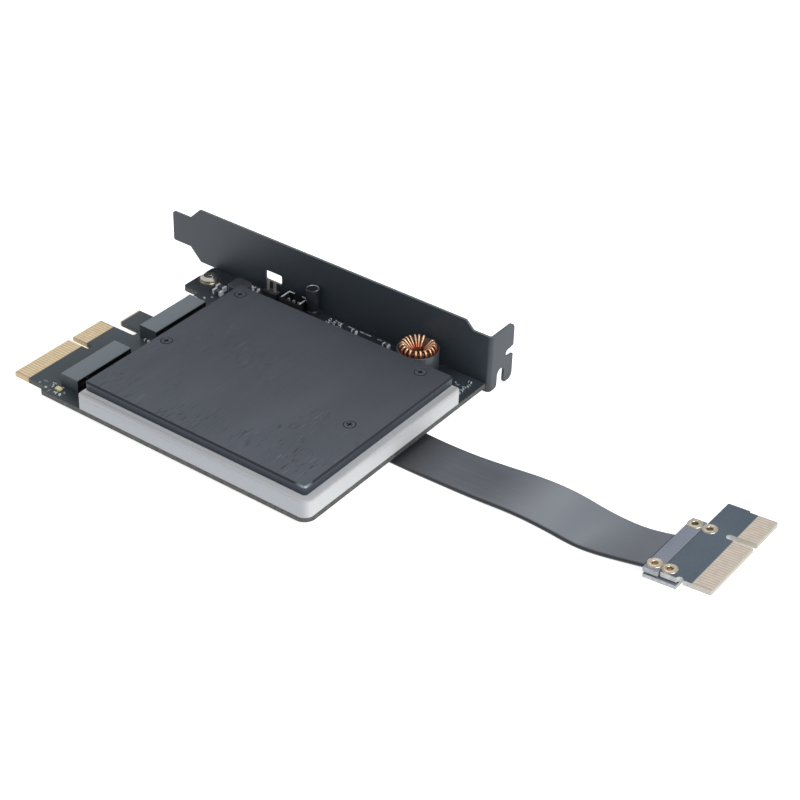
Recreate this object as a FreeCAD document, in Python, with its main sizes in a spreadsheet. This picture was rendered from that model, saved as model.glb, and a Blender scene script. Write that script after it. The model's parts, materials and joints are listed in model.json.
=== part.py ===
"""Expansion card that carries two M.2 drives under one heatsink plate.

The card lies on its solder side.  The origin is on the board's upper surface, at the middle of the
key notch of the card edge, on the line of the contact tips.  +X points away from the mounting
bracket, +Y from the contact tips towards the bracket's flange, +Z out of the component side.
A flat cable leaves from under the board in +Y and ends in a small edge board of its own.
"""
import FreeCAD, Part
import math
import os
import re
import sys

import Sketcher
from FreeCAD import Placement, Rotation, Vector

doc = FreeCAD.newDocument("drive_card")

# ---------------------------------------------------------------------------------------------
# Driving sizes, in millimetres and degrees
# ---------------------------------------------------------------------------------------------
SIZES = [
    # card edge, shared by the main board and the cable's end board
    ("board_thick", 1.57, "thickness of both circuit boards"),
    ("key_gap", 1.9, "width of the key notch"),
    ("key_depth", 8.3, "depth of the key notch"),
    ("long_tab", 21.65, "edge tab on the far side of the key"),
    ("short_tab", 11.65, "edge tab on the near side of the key"),
    ("tip_bevel", 0.3, "bevel on the contact tips"),
    ("contact_pitch", 1.0, "pitch of the edge contacts"),
    ("contact_wide", 0.7, "width of one edge contact"),
    ("contact_long", 5.6, "length of one edge contact"),
    ("contact_thick", 0.06, "thickness of the gold contacts"),
    ("contact_inset", 0.05, "bare board between the bevel or the key and the first contact"),
    ("long_count", 21, "contacts on the long tab"),
    ("short_count", 11, "contacts on the short tab"),
    # bracket
    ("bracket_face", 57.15, "key centre to the bracket's inner face"),
    ("sheet_thick", 0.86, "bracket sheet"),
    ("bend_inner", 0.5, "inner radius of the bends"),
    ("flange_face", 109.41, "contact tips to the flange's outer face"),
    ("flange_reach", 11.75, "inner face to the flange's outer edge"),
    ("flange_low", 3.15, "flange below the board's upper surface"),
    ("hook_low", 3.45, "tip of the flange hook below the board's upper surface"),
    ("blade_low", 0.4, "blade edge below the board's upper surface"),
    ("blade_wide", 18.42, "width of the blade"),
    ("blade_corner", 2.54, "corner cut from the blade beside the flange"),
    ("blade_step", 6.6, "flange face to the end of that corner"),
    ("low_step", 3.4, "flange face to the widened part of the blade"),
    ("tail_tip", 10.6, "tail below the contact tips"),
    ("tail_long", 6.94, "straight part of the tail"),
    ("tail_wide", 10.19, "width of the tail"),
    ("tail_round", 0.8, "corner radius of the tail"),
    ("window_wide", 6.3, "window in the blade, along Y"),
    ("window_high", 3.2, "window in the blade, along Z"),
    ("window_y", 29.85, "middle of the window, along Y"),
    ("window_z", 5.15, "middle of the window, along Z"),
    ("window_round", 0.4, "corner radius of the window"),
    ("tab_wide", 8.0, "width of a mounting tab"),
    ("tab_long", 9.6, "reach of a mounting tab"),
    ("tab_hole_x", 6.5, "bracket face to the tab holes"),
    ("tab_low_y", 9.7, "tab near the contact edge"),
    ("tab_high_y", 98.9, "tab near the flange"),
    ("slot_wide", 3.5, "screw slot in the flange"),
    ("slot_x", 5.7, "middle of the screw slot from the inner face"),
    ("slot_deep", 5.9, "depth of the screw slot"),
    ("nick_wide", 2.9, "nick in the flange's outer edge"),
    ("nick_deep", 3.7, "depth of that nick"),
    ("nick_floor", 2.1, "width of that nick at its floor"),
    ("nick_z", 6.15, "middle of that nick"),
    ("flange_round", 2.3, "rounded outer corner of the flange"),
    ("hook_round", 1.9, "rounded outer corner of the hook"),
    # main board
    ("board_gap", 0.25, "board edge to the bracket"),
    ("board_right", 24.56, "far edge of the board"),
    ("board_high", 108.3, "edge of the board beside the flange"),
    ("board_low", 12.2, "edge of the board behind the contact edge"),
    ("board_step", 1.1, "set-back of that edge beside the short tab"),
    ("lug_y", 6.0, "edge of the screw lug"),
    ("lug_wide", 14.3, "width of the screw lug"),
    ("lug_round", 1.3, "corner radius of the screw lug"),
    ("hook_gap", 3.1, "short tab to the retention hook"),
    ("retain_wide", 8.2, "width of the retention hook"),
    ("retain_y", 5.1, "tip of the retention hook"),
    ("corner_round", 3.6, "outer corner radius of the board"),
    ("hole_slack", 0.15, "room around a screw in the board"),
    # bracket screws
    ("screw_radius", 1.5, "bracket screw"),
    ("screw_head", 2.9, "head of the bracket screw"),
    ("screw_head_high", 1.45, "height of that head"),
    ("screw_recess", 0.9, "depth of its cross recess"),
    ("rivet_high", 0.7, "height of the rivet's head"),
    ("screw_edge", 0.7, "broken edge of that head"),
    ("thread_slack", 0.04, "room between a thread and its hole"),
    # heatsink plate
    ("plate_left", 44.3, "near edge of the plate, on the bracket's side"),
    ("plate_right", 22.04, "far edge of the plate"),
    ("plate_low", 27.5, "edge of the plate behind the sockets"),
    ("plate_high", 105.76, "edge of the plate beside the flange"),
    ("plate_thick", 2.77, "thickness of the plate"),
    ("plate_round", 1.1, "corner radius of the plate"),
    ("plate_bevel", 0.45, "bevel round the plate's upper face"),
    ("plate_screw_left", 39.9, "outer column of plate screws"),
    ("plate_screw_mid", 7.5, "column of plate screws between the drives"),
    ("plate_screw_low", 31.3, "row of plate screws by the sockets"),
    ("plate_screw_high", 97.3, "row of plate screws by the flange"),
    ("plate_screw_radius", 1.0, "plate screw"),
    ("plate_screw_head", 1.75, "head of the plate screw"),
    ("plate_screw_grip", 3.0, "thread in the post"),
    ("plate_recess", 0.6, "depth of that screw's cross recess"),
    ("bore_spare", 0.3, "bore of a post beyond its screw"),
    ("post_radius", 2.3, "hexagonal post under the plate, to its corners"),
    # light guide
    ("guide_left", 43.6, "light guide, bracket's side"),
    ("guide_right", 24.5, "light guide, far side"),
    ("guide_low", 27.45, "light guide, socket side"),
    ("guide_high", 108.2, "light guide, flange side"),
    ("guide_thick", 5.3, "height of the light guide"),
    ("guide_wall", 4.8, "lit bars of the light guide"),
    ("guide_wall_left", 1.1, "bar of the light guide on the bracket's side"),
    ("guide_round", 3.0, "outer corner radius of the light guide"),
    ("guide_shoulder", 1.8, "radius of the light guide's outer upper edges"),
    ("lamp_groove", 2.5, "groove for the light chips"),
    ("lamp_groove_high", 2.3, "height of that groove"),
    ("lamp_inset", 1.1, "wall outside that groove"),
    ("lamp_long", 3.5, "light chip, along its row"),
    ("lamp_wide", 1.9, "light chip, across its row"),
    ("lamp_high", 1.5, "light chip, height"),
    ("lamp_pitch", 15.0, "light chips, pitch"),
    ("lamp_first", 10.5, "end of the light guide to the first light chip"),
    # drive sockets and bays
    ("socket_wide", 21.9, "drive socket, along X"),
    ("socket_deep", 6.6, "drive socket, along Y"),
    ("socket_high", 4.2, "height of the drive socket"),
    ("socket_bevel", 0.3, "bevel on the socket's upper edges"),
    ("socket_fill", 0.2, "how far the key rib and cheeks run into the socket's body"),
    ("socket_y", 15.25, "back of the drive sockets"),
    ("socket_one_x", 8.3, "middle of the far drive socket"),
    ("socket_two_x", 24.2, "middle of the near drive socket"),
    ("slot_open", 0.95, "mouth of the socket, height"),
    ("slot_level", 2.55, "lower lip of the mouth"),
    ("slot_mouth", 19.85, "mouth of the socket, width"),
    ("slot_reach", 4.0, "mouth of the socket, depth"),
    ("slot_key", 1.1, "key rib in the mouth"),
    ("slot_key_x", 6.12, "middle of the key rib"),
    ("tail_pitch", 1.0, "pitch of the socket's solder tails"),
    ("tail_count", 19, "solder tails in a row"),
    ("lead_wide", 0.3, "width of a solder tail"),
    ("lead_reach", 1.1, "solder tail behind the socket"),
    ("lead_thick", 0.18, "thickness of a solder tail"),
    ("drive_y", 97.9, "standoffs for the drives"),
    ("standoff_radius", 2.9, "hexagonal standoff, to its corners"),
    ("standoff_bore", 1.9, "depth of its threaded bore"),
    ("standoff_high", 2.45, "height of a standoff"),
    ("drive_screw_radius", 1.0, "drive screw"),
    ("drive_screw_head", 2.2, "head of the drive screw"),
    ("drive_screw_head_high", 0.7, "height of that head"),
    ("pad_wide", 20.0, "thermal pad, across"),
    ("pad_long", 62.0, "thermal pad, along"),
    ("pad_thick", 1.0, "thermal pad"),
    ("pad_y", 30.5, "thermal pad, edge by the sockets"),
    # choke
    ("choke_x", 50.8, "choke, bracket's side of the key"),
    ("choke_y", 88.6, "choke, above the contact tips"),
    ("case_radius", 6.2, "outer radius of the choke case"),
    ("case_wall", 0.35, "wall of the choke case"),
    ("case_floor", 0.8, "floor of the choke case"),
    ("case_high", 7.2, "height of the choke case"),
    ("core_outer", 4.9, "outer radius of the core"),
    ("core_inner", 2.35, "inner radius of the core"),
    ("core_high", 3.6, "height of the core at its outer rim"),
    ("core_dip", 1.5, "how far the core's upper face falls towards its bore"),
    ("core_round", 0.6, "broken edges of the core"),
    ("core_level", 4.5, "underside of the core"),
    ("wire_radius", 0.33, "winding wire"),
    ("turn_count", 20, "turns of the winding"),
    ("turn_gap", 36.0, "angle left open between the winding's ends"),
    ("turn_facing", 194.0, "direction of that opening"),
    # small parts on the component side
    ("can_radius", 2.1, "electrolytic capacitor"),
    ("can_high", 9.2, "height of its can"),
    ("can_base", 1.0, "height of its base"),
    ("can_neck", 0.7, "foot of the can to its pinched ring"),
    ("can_pinch", 0.3, "depth of that ring and of the rolled rim"),
    ("can_x", 54.8, "its place, bracket's side of the key"),
    ("can_y", 46.9, "its place above the contact tips"),
    ("shroud_wide", 4.9, "light connector, along X"),
    ("shroud_long", 7.3, "light connector, along Y"),
    ("shroud_high", 4.0, "height of the light connector"),
    ("shroud_wall", 0.45, "wall of the light connector"),
    ("shroud_x", 53.3, "its place, bracket's side of the key"),
    ("shroud_y", 40.8, "its place above the contact tips"),
    ("pin_wide", 0.64, "square pins"),
    ("pin_pitch", 2.54, "pitch of the pin header"),
    ("pin_high", 6.2, "pins of the header above the board"),
    ("pin_base", 2.3, "base of the pin header"),
    ("header_x", 54.3, "pin header, bracket's side of the key"),
    ("header_y", 31.35, "pin header above the contact tips"),
    ("power_coil_wide", 6.0, "shielded coil, square"),
    ("power_coil_high", 4.6, "height of the shielded coil"),
    ("power_coil_x", 48.7, "its place, bracket's side of the key"),
    ("power_coil_y", 23.6, "its place above the contact tips"),
    ("chip_wide", 3.9, "regulator, body width"),
    ("chip_long", 4.9, "regulator, body length"),
    ("chip_high", 1.5, "height of the regulator"),
    ("chip_x", 49.6, "regulator, bracket's side of the key"),
    ("chip_y", 70.0, "regulator above the contact tips"),
    ("chip_lead_pitch", 1.27, "regulator, lead pitch"),
    ("chip_lead_reach", 0.9, "regulator, lead beyond the body"),
    ("chip_lead_wide", 0.4, "regulator, lead width"),
    ("end_share", 0.22, "plated end of a small part, as a share of its length"),
    ("amber_x", 21.4, "status light, away from the bracket"),
    ("amber_y", 16.4, "status light above the contact tips"),
    ("amber_wide", 1.4, "status light, along X"),
    ("amber_long", 1.8, "status light, along Y"),
    ("amber_high", 0.8, "height of the status light"),
    ("joint_radius", 0.8, "solder joint on the underside"),
    ("joint_high", 0.75, "height of that joint"),
    ("joint_tip", 0.32, "radius of its tip"),
    # flat cable
    ("cable_x", 20.7, "middle of the cable where it starts, bracket's side of the key"),
    ("cable_wide", 17.0, "width of the flat cable"),
    ("cable_thick", 0.9, "thickness of the flat cable"),
    ("bar_deep", 4.3, "end bar of the cable, along the cable"),
    ("bar_wide", 25.6, "end bar of the cable, across the cable"),
    ("bar_side", 3.05, "bar under the board beyond the cable's edges"),
    ("bar_seam", 0.2, "seam between the cable and its end bars"),
    ("bar_thick", 1.5, "thickness of an end bar"),
    ("board_bar_y", 82.5, "cable leaves the bar under the board here"),
    ("rivet_radius", 1.15, "tube of an eyelet"),
    ("rivet_bore", 0.8, "bore of an eyelet"),
    ("rivet_flare", 2.2, "rolled rim of an eyelet"),
    ("rivet_rim", 0.35, "height of that rim"),
    ("rivet_span", 20.5, "eyelets across the cable"),
    ("rivet_row", 4.35, "eyelet rows along the cable"),
    # end board on the cable
    ("end_x", 36.56, "end board's key, bracket's side of the main key"),
    ("end_y", 205.76, "end board's contact tips"),
    ("end_z", 2.0, "end board's upper surface at its tips"),
    ("end_pitch", 4.6, "end board leans up towards its tips, degrees"),
    ("end_left", 13.2, "end board beyond its key, short side"),
    ("end_back", 14.95, "back edge of the end board"),
    ("end_shoulder", 8.3, "start of the end board's tongue"),
    ("end_relief", 0.9, "radius of the relief beside the tongue"),
    ("end_corner", 0.5, "corner radius of the end board"),
    ("end_bar_gap", 0.25, "end bar to the end board"),
    ("end_bar_over", 0.6, "end bar beyond the tongue, on the long side"),
    ("end_bar_inset", 0.1, "cable edge inside that end of the bar"),
    ("under_gap", 0.6, "space above the joining plate"),
    ("under_thick", 1.1, "thickness of the joining plate"),
    ("under_deep", 9.6, "joining plate along the cable"),
    ("rivet_first_y", 17.6, "first row of eyelets behind the tips"),
    ("rivet_first_x", 0.2, "first eyelet on the short side of the key"),
]

sheet = doc.addObject("Spreadsheet::Sheet", "Sizes")
for row, (alias, value, meaning) in enumerate(SIZES, start=1):
    sheet.set(f"A{row}", meaning)
    sheet.set(f"B{row}", str(value))
    sheet.setAlias(f"B{row}", alias)
doc.recompute()
NAMES = {alias for alias, _, _ in SIZES}


# ---------------------------------------------------------------------------------------------
# Helpers
# ---------------------------------------------------------------------------------------------
def linked(text):
    """Write the sheet's name before each size in an expression."""
    return re.sub(r"[a-z]\w*",
                  lambda word: ("Sizes." if word.group() in NAMES else "") + word.group(), str(text))


def number(text):
    """Value of an expression of sizes."""
    found = sheet.evalExpression(linked(text))
    return float(getattr(found, "Value", found))


def bind(thing, **expressions):
    """Bind properties to expressions of sizes; a double underscore stands for a dot."""
    for prop, text in expressions.items():
        thing.setExpression(prop.replace("__", "."), linked(text))


def new_body(label, several=False):
    """Start a PartDesign body; several lets it hold separate solids."""
    body = doc.addObject("PartDesign::Body", label)
    body.Label = label
    if several:
        body.AllowCompound = True
    return body


def new_sketch(body, name, plane, level="0"):
    """Sketch on one of the body's origin planes, lifted along the plane's normal."""
    sketch = body.newObject("Sketcher::SketchObject", name)
    base = next(f for f in body.Origin.OriginFeatures if f.Role == plane + "_Plane")
    sketch.AttachmentSupport = [(base, "")]
    sketch.MapMode = "FlatFace"
    bind(sketch, AttachmentOffset__Base__z=level)
    return sketch


def add_outline(sketch, corners):
    """Closed outline with straight sides; each corner is a pair of expressions."""
    first = sketch.GeometryCount
    places = [Vector(number(x), number(y), 0) for x, y in corners]
    count = len(places)
    for index in range(count):
        sketch.addGeometry(Part.LineSegment(places[index], places[(index + 1) % count]))
    for index in range(count):
        sketch.addConstraint(Sketcher.Constraint(
            "Coincident", first + index, 2, first + (index + 1) % count, 1))
    for index, (x, y) in enumerate(corners):
        across = sketch.addConstraint(Sketcher.Constraint("DistanceX", first + index, 1, places[index].x))
        sketch.setExpression(f"Constraints[{across}]", linked(x))
        upward = sketch.addConstraint(Sketcher.Constraint("DistanceY", first + index, 1, places[index].y))
        sketch.setExpression(f"Constraints[{upward}]", linked(y))
    return sketch


def add_rectangle(sketch, x_low, x_high, y_low, y_high):
    """Upright rectangle between four expressions."""
    return add_outline(sketch, [(x_low, y_low), (x_high, y_low), (x_high, y_high), (x_low, y_high)])


def add_circle(sketch, x, y, radius):
    """Circle with its middle and radius bound to expressions."""
    index = sketch.addGeometry(Part.Circle(Vector(number(x), number(y), 0), Vector(0, 0, 1), number(radius)))
    for kind, text in (("DistanceX", x), ("DistanceY", y)):
        held = sketch.addConstraint(Sketcher.Constraint(kind, index, 3, number(text)))
        sketch.setExpression(f"Constraints[{held}]", linked(text))
    held = sketch.addConstraint(Sketcher.Constraint("Radius", index, number(radius)))
    sketch.setExpression(f"Constraints[{held}]", linked(radius))
    return sketch


def pad(body, sketch, length, backwards=False):
    """Raise a sketch by a bound length."""
    sketch.Visibility = False
    feature = body.newObject("PartDesign::Pad", sketch.Name + "_pad")
    feature.Profile = sketch
    feature.Reversed = backwards
    bind(feature, Length=length)
    doc.recompute()
    return feature


def pocket(body, sketch, length=None, backwards=False):
    """Cut a sketch by a bound length, or right through in both directions."""
    sketch.Visibility = False
    before = body.Shape.Volume
    feature = body.newObject("PartDesign::Pocket", sketch.Name + "_pocket")
    feature.Profile = sketch
    feature.Reversed = backwards
    if length is None:
        feature.Type = "ThroughAll"
        feature.Midplane = True
    else:
        bind(feature, Length=length)
    doc.recompute()
    if not body.Shape.Volume < before:
        raise RuntimeError(sketch.Name + " cuts nothing")
    return feature


def edges_where(feature, test):
    """Names of the feature's edges that pass a test of their middle point and their ends."""
    names = []
    for index, edge in enumerate(feature.Shape.Edges, start=1):
        middle = edge.valueAt((edge.FirstParameter + edge.LastParameter) / 2)
        ends = [vertex.Point for vertex in edge.Vertexes]
        if test(edge, middle, ends):
            names.append(f"Edge{index}")
    return names


def upright_at(x, y, reach=0.02):
    """Test for an edge along Z at a place."""
    x_at, y_at = number(x), number(y)
    return lambda edge, middle, ends: (
        len(ends) == 2 and abs(ends[0].z - ends[1].z) > 0.1
        and all(abs(end.x - x_at) < reach and abs(end.y - y_at) < reach for end in ends))


def along_y_at(x, z, reach=0.02):
    """Test for an edge along Y at a place."""
    x_at, z_at = number(x), number(z)
    return lambda edge, middle, ends: (
        len(ends) == 2 and abs(ends[0].y - ends[1].y) > 0.1
        and all(abs(end.x - x_at) < reach and abs(end.z - z_at) < reach for end in ends))


def along_x_at(y, z, reach=0.02):
    """Test for an edge along X at a place."""
    y_at, z_at = number(y), number(z)
    return lambda edge, middle, ends: (
        len(ends) == 2 and abs(ends[0].x - ends[1].x) > 0.1
        and all(abs(end.y - y_at) < reach and abs(end.z - z_at) < reach for end in ends))


def dress(body, kind, tests, size):
    """Fillet or Chamfer on the edges that pass any of the tests."""
    base = body.Tip
    names = []
    for test in tests:
        found = edges_where(base, test)
        if not found:
            raise RuntimeError(body.Label + " has no edge for a " + kind)
        names += [name for name in found if name not in names]
    feature = body.newObject("PartDesign::" + kind, body.Label + "_" + kind.lower())
    feature.Base = (base, names)
    bind(feature, **{"Radius" if kind == "Fillet" else "Size": size})
    doc.recompute()
    return feature


def row_of(body, feature, step, count):
    """Repeat a feature along X."""
    pattern = body.newObject("PartDesign::LinearPattern", feature.Name + "_row")
    pattern.Originals = [feature]
    axis = next(f for f in body.Origin.OriginFeatures if f.Role == "X_Axis")
    pattern.Direction = (axis, [""])
    bind(pattern, Length=f"{step} * ({count} - 1)", Occurrences=count)
    body.Tip = pattern
    doc.recompute()
    return pattern


def box(name, x_low, x_high, y_low, y_high, z_low, z_high):
    """Part box between six expressions."""
    thing = doc.addObject("Part::Box", name)
    bind(thing, Length=f"({x_high}) - ({x_low})", Width=f"({y_high}) - ({y_low})",
         Height=f"({z_high}) - ({z_low})",
         Placement__Base__x=x_low, Placement__Base__y=y_low, Placement__Base__z=z_low)
    return thing


def rod(name, x, y, z_low, z_high, radius):
    """Part cylinder along Z between two levels."""
    thing = doc.addObject("Part::Cylinder", name)
    bind(thing, Radius=radius, Height=f"({z_high}) - ({z_low})",
         Placement__Base__x=x, Placement__Base__y=y, Placement__Base__z=z_low)
    return thing


def taper(name, x, y, z_low, z_high, radius_low, radius_high):
    """Part cone along Z between two levels."""
    thing = doc.addObject("Part::Cone", name)
    bind(thing, Radius1=radius_low, Radius2=radius_high, Height=f"({z_high}) - ({z_low})",
         Placement__Base__x=x, Placement__Base__y=y, Placement__Base__z=z_low)
    return thing


def fused(name, pieces):
    """Union of several objects."""
    thing = doc.addObject("Part::MultiFuse", name)
    thing.Shapes = pieces
    return thing


def cut(name, base, tool):
    """One object less another."""
    thing = doc.addObject("Part::Cut", name)
    thing.Base = base
    thing.Tool = tool
    return thing


def group(label, pieces):
    """Separate solids kept together as one sub-part."""
    thing = doc.addObject("Part::Compound", label)
    thing.Label = label
    thing.Links = pieces
    return thing


def cross(name, x, y, z_low, z_high, arm, width):
    """Cross-shaped tool for a driver's recess."""
    bars = []
    for tag, along_x, along_y in (("_one", arm, f"{width}/2"), ("_two", f"{width}/2", arm)):
        bars.append(box(name + tag, f"{x} - {along_x}", f"{x} + {along_x}",
                        f"{y} - {along_y}", f"{y} + {along_y}", z_low, z_high))
    return fused(name, bars)


SUB_PARTS = []


def keep(thing):
    """Note an object as a finished sub-part."""
    SUB_PARTS.append(thing)
    return thing


# ---------------------------------------------------------------------------------------------
# Circuit boards and their edge contacts
# ---------------------------------------------------------------------------------------------
LONG_END = "key_gap/2 + long_tab"
SHORT_END = "-key_gap/2 - short_tab"
BOARD_LEFT = "-bracket_face + board_gap"
LUG_RIGHT = f"{BOARD_LEFT} + lug_wide"
RETAIN_RIGHT = f"{SHORT_END} - hook_gap"
RETAIN_LEFT = f"{RETAIN_RIGHT} - retain_wide"
TAB_X = "-bracket_face + tab_hole_x"
TAB_PLACES = [(TAB_X, "tab_low_y"), (TAB_X, "tab_high_y")]
POST_PLACES = [(f"-{column}", row) for column in ("plate_screw_left", "plate_screw_mid")
               for row in ("plate_screw_low", "plate_screw_high")]
DRIVE_PLACES = [("socket_one_x", "drive_y"), ("-socket_two_x", "drive_y")]
STEP_LEVEL = "board_low + board_step"
EDGE_INSET = "tip_bevel + contact_inset"
NEAR = 0.01  # millimetres within which two levels are the same


def bevel_tips(body):
    """Bevel the outer corners of the tongue, and its tips on both faces."""
    dress(body, "Chamfer", [upright_at(LONG_END, "0"), upright_at(SHORT_END, "0")], "tip_bevel")
    dress(body, "Chamfer", [along_x_at("0", "0"), along_x_at("0", "-board_thick")], "tip_bevel")


def main_board():
    """Circuit board with its edge tongue, retention hook and screw lug."""
    body = new_body("main_board")
    outline = [
        ("key_gap/2", "0"), (LONG_END, "0"), (LONG_END, "board_low"), ("board_right", "board_low"),
        ("board_right", "board_high"), (BOARD_LEFT, "board_high"), (BOARD_LEFT, "lug_y"),
        (LUG_RIGHT, "lug_y"), (LUG_RIGHT, "board_low"), (RETAIN_LEFT, "board_low"),
        (RETAIN_LEFT, "retain_y"), (RETAIN_RIGHT, "retain_y"), (RETAIN_RIGHT, STEP_LEVEL),
        (SHORT_END, STEP_LEVEL), (SHORT_END, "0"), ("-key_gap/2", "0"),
        ("-key_gap/2", "key_depth"), ("key_gap/2", "key_depth")]
    pad(body, add_outline(new_sketch(body, "board_outline", "XY"), outline), "board_thick", backwards=True)
    dress(body, "Fillet", [upright_at("key_gap/2", "key_depth"), upright_at("-key_gap/2", "key_depth")],
          "key_gap*0.49")
    dress(body, "Fillet", [upright_at("board_right", "board_high")], "corner_round")
    dress(body, "Fillet", [upright_at(LUG_RIGHT, "lug_y"), upright_at(BOARD_LEFT, "lug_y")], "lug_round")
    dress(body, "Fillet", [upright_at(RETAIN_RIGHT, STEP_LEVEL), upright_at(SHORT_END, STEP_LEVEL),
                           upright_at(LUG_RIGHT, "board_low"), upright_at(RETAIN_LEFT, "board_low"),
                           upright_at("board_right", "board_low"), upright_at(LONG_END, "board_low")],
          "lug_round*0.5")
    bevel_tips(body)
    holes = new_sketch(body, "board_holes", "XY")
    for x, y in TAB_PLACES:
        add_circle(holes, x, y, "screw_radius + hole_slack")
    pocket(body, holes)
    return keep(body)


def end_board():
    """Small circuit board at the far end of the cable, drawn with its own key at the origin."""
    body = new_body("end_board")
    outline = [
        ("key_gap/2", "0"), ("key_gap/2", "-key_depth"), ("-key_gap/2", "-key_depth"), ("-key_gap/2", "0"),
        (SHORT_END, "0"), (SHORT_END, "-end_shoulder"), ("-end_left", "-end_shoulder"),
        ("-end_left", "-end_back"), (LONG_END, "-end_back"), (LONG_END, "0")]
    pad(body, add_outline(new_sketch(body, "end_outline", "XY"), outline), "board_thick", backwards=True)
    dress(body, "Fillet", [upright_at("key_gap/2", "-key_depth"), upright_at("-key_gap/2", "-key_depth")],
          "key_gap*0.49")
    dress(body, "Fillet", [upright_at("-end_left", "-end_shoulder"), upright_at("-end_left", "-end_back"),
                           upright_at(LONG_END, "-end_back")], "end_corner")
    bevel_tips(body)
    holes = new_sketch(body, "end_holes", "XY")
    add_circle(holes, LONG_END, "-end_shoulder - end_relief", "end_relief")
    for x in ("-rivet_first_x", "-rivet_first_x + rivet_span"):
        add_circle(holes, x, "-rivet_first_y + rivet_row", "rivet_radius + hole_slack")
    pocket(body, holes)
    place_on_end(body)
    return keep(body)


def place_on_end(thing):
    """Put a piece that is drawn on the end board's own key where that board lies."""
    thing.Placement = Placement(Vector(0, 0, 0), Rotation(Vector(1, 0, 0), 1))
    bind(thing, Placement__Base__x="-end_x", Placement__Base__y="end_y", Placement__Base__z="end_z",
         Placement__Rotation__Angle="end_pitch * 1deg")


def edge_contacts(label, side):
    """Gold contacts on both faces of a card edge; side is 1 or -1 for the way that the card lies."""
    body = new_body(label, several=True)
    long_first = "key_gap/2 + contact_inset + contact_pitch/2"
    short_first = "-key_gap/2 - contact_inset - contact_pitch*(short_count - 0.5)"
    for name, first, count in (("long", long_first, "long_count"), ("short", short_first, "short_count")):
        row = new_sketch(body, f"{label}_{name}", "XZ", f"-({EDGE_INSET})" if side > 0 else EDGE_INSET)
        for low, high in (("0", "contact_thick"), ("-board_thick - contact_thick", "-board_thick")):
            add_rectangle(row, f"{first} - contact_wide/2", f"{first} + contact_wide/2", low, high)
        strip = pad(body, row, f"contact_long - ({EDGE_INSET})", backwards=side > 0)
        row_of(body, strip, "contact_pitch", count)
    return keep(body)


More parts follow.
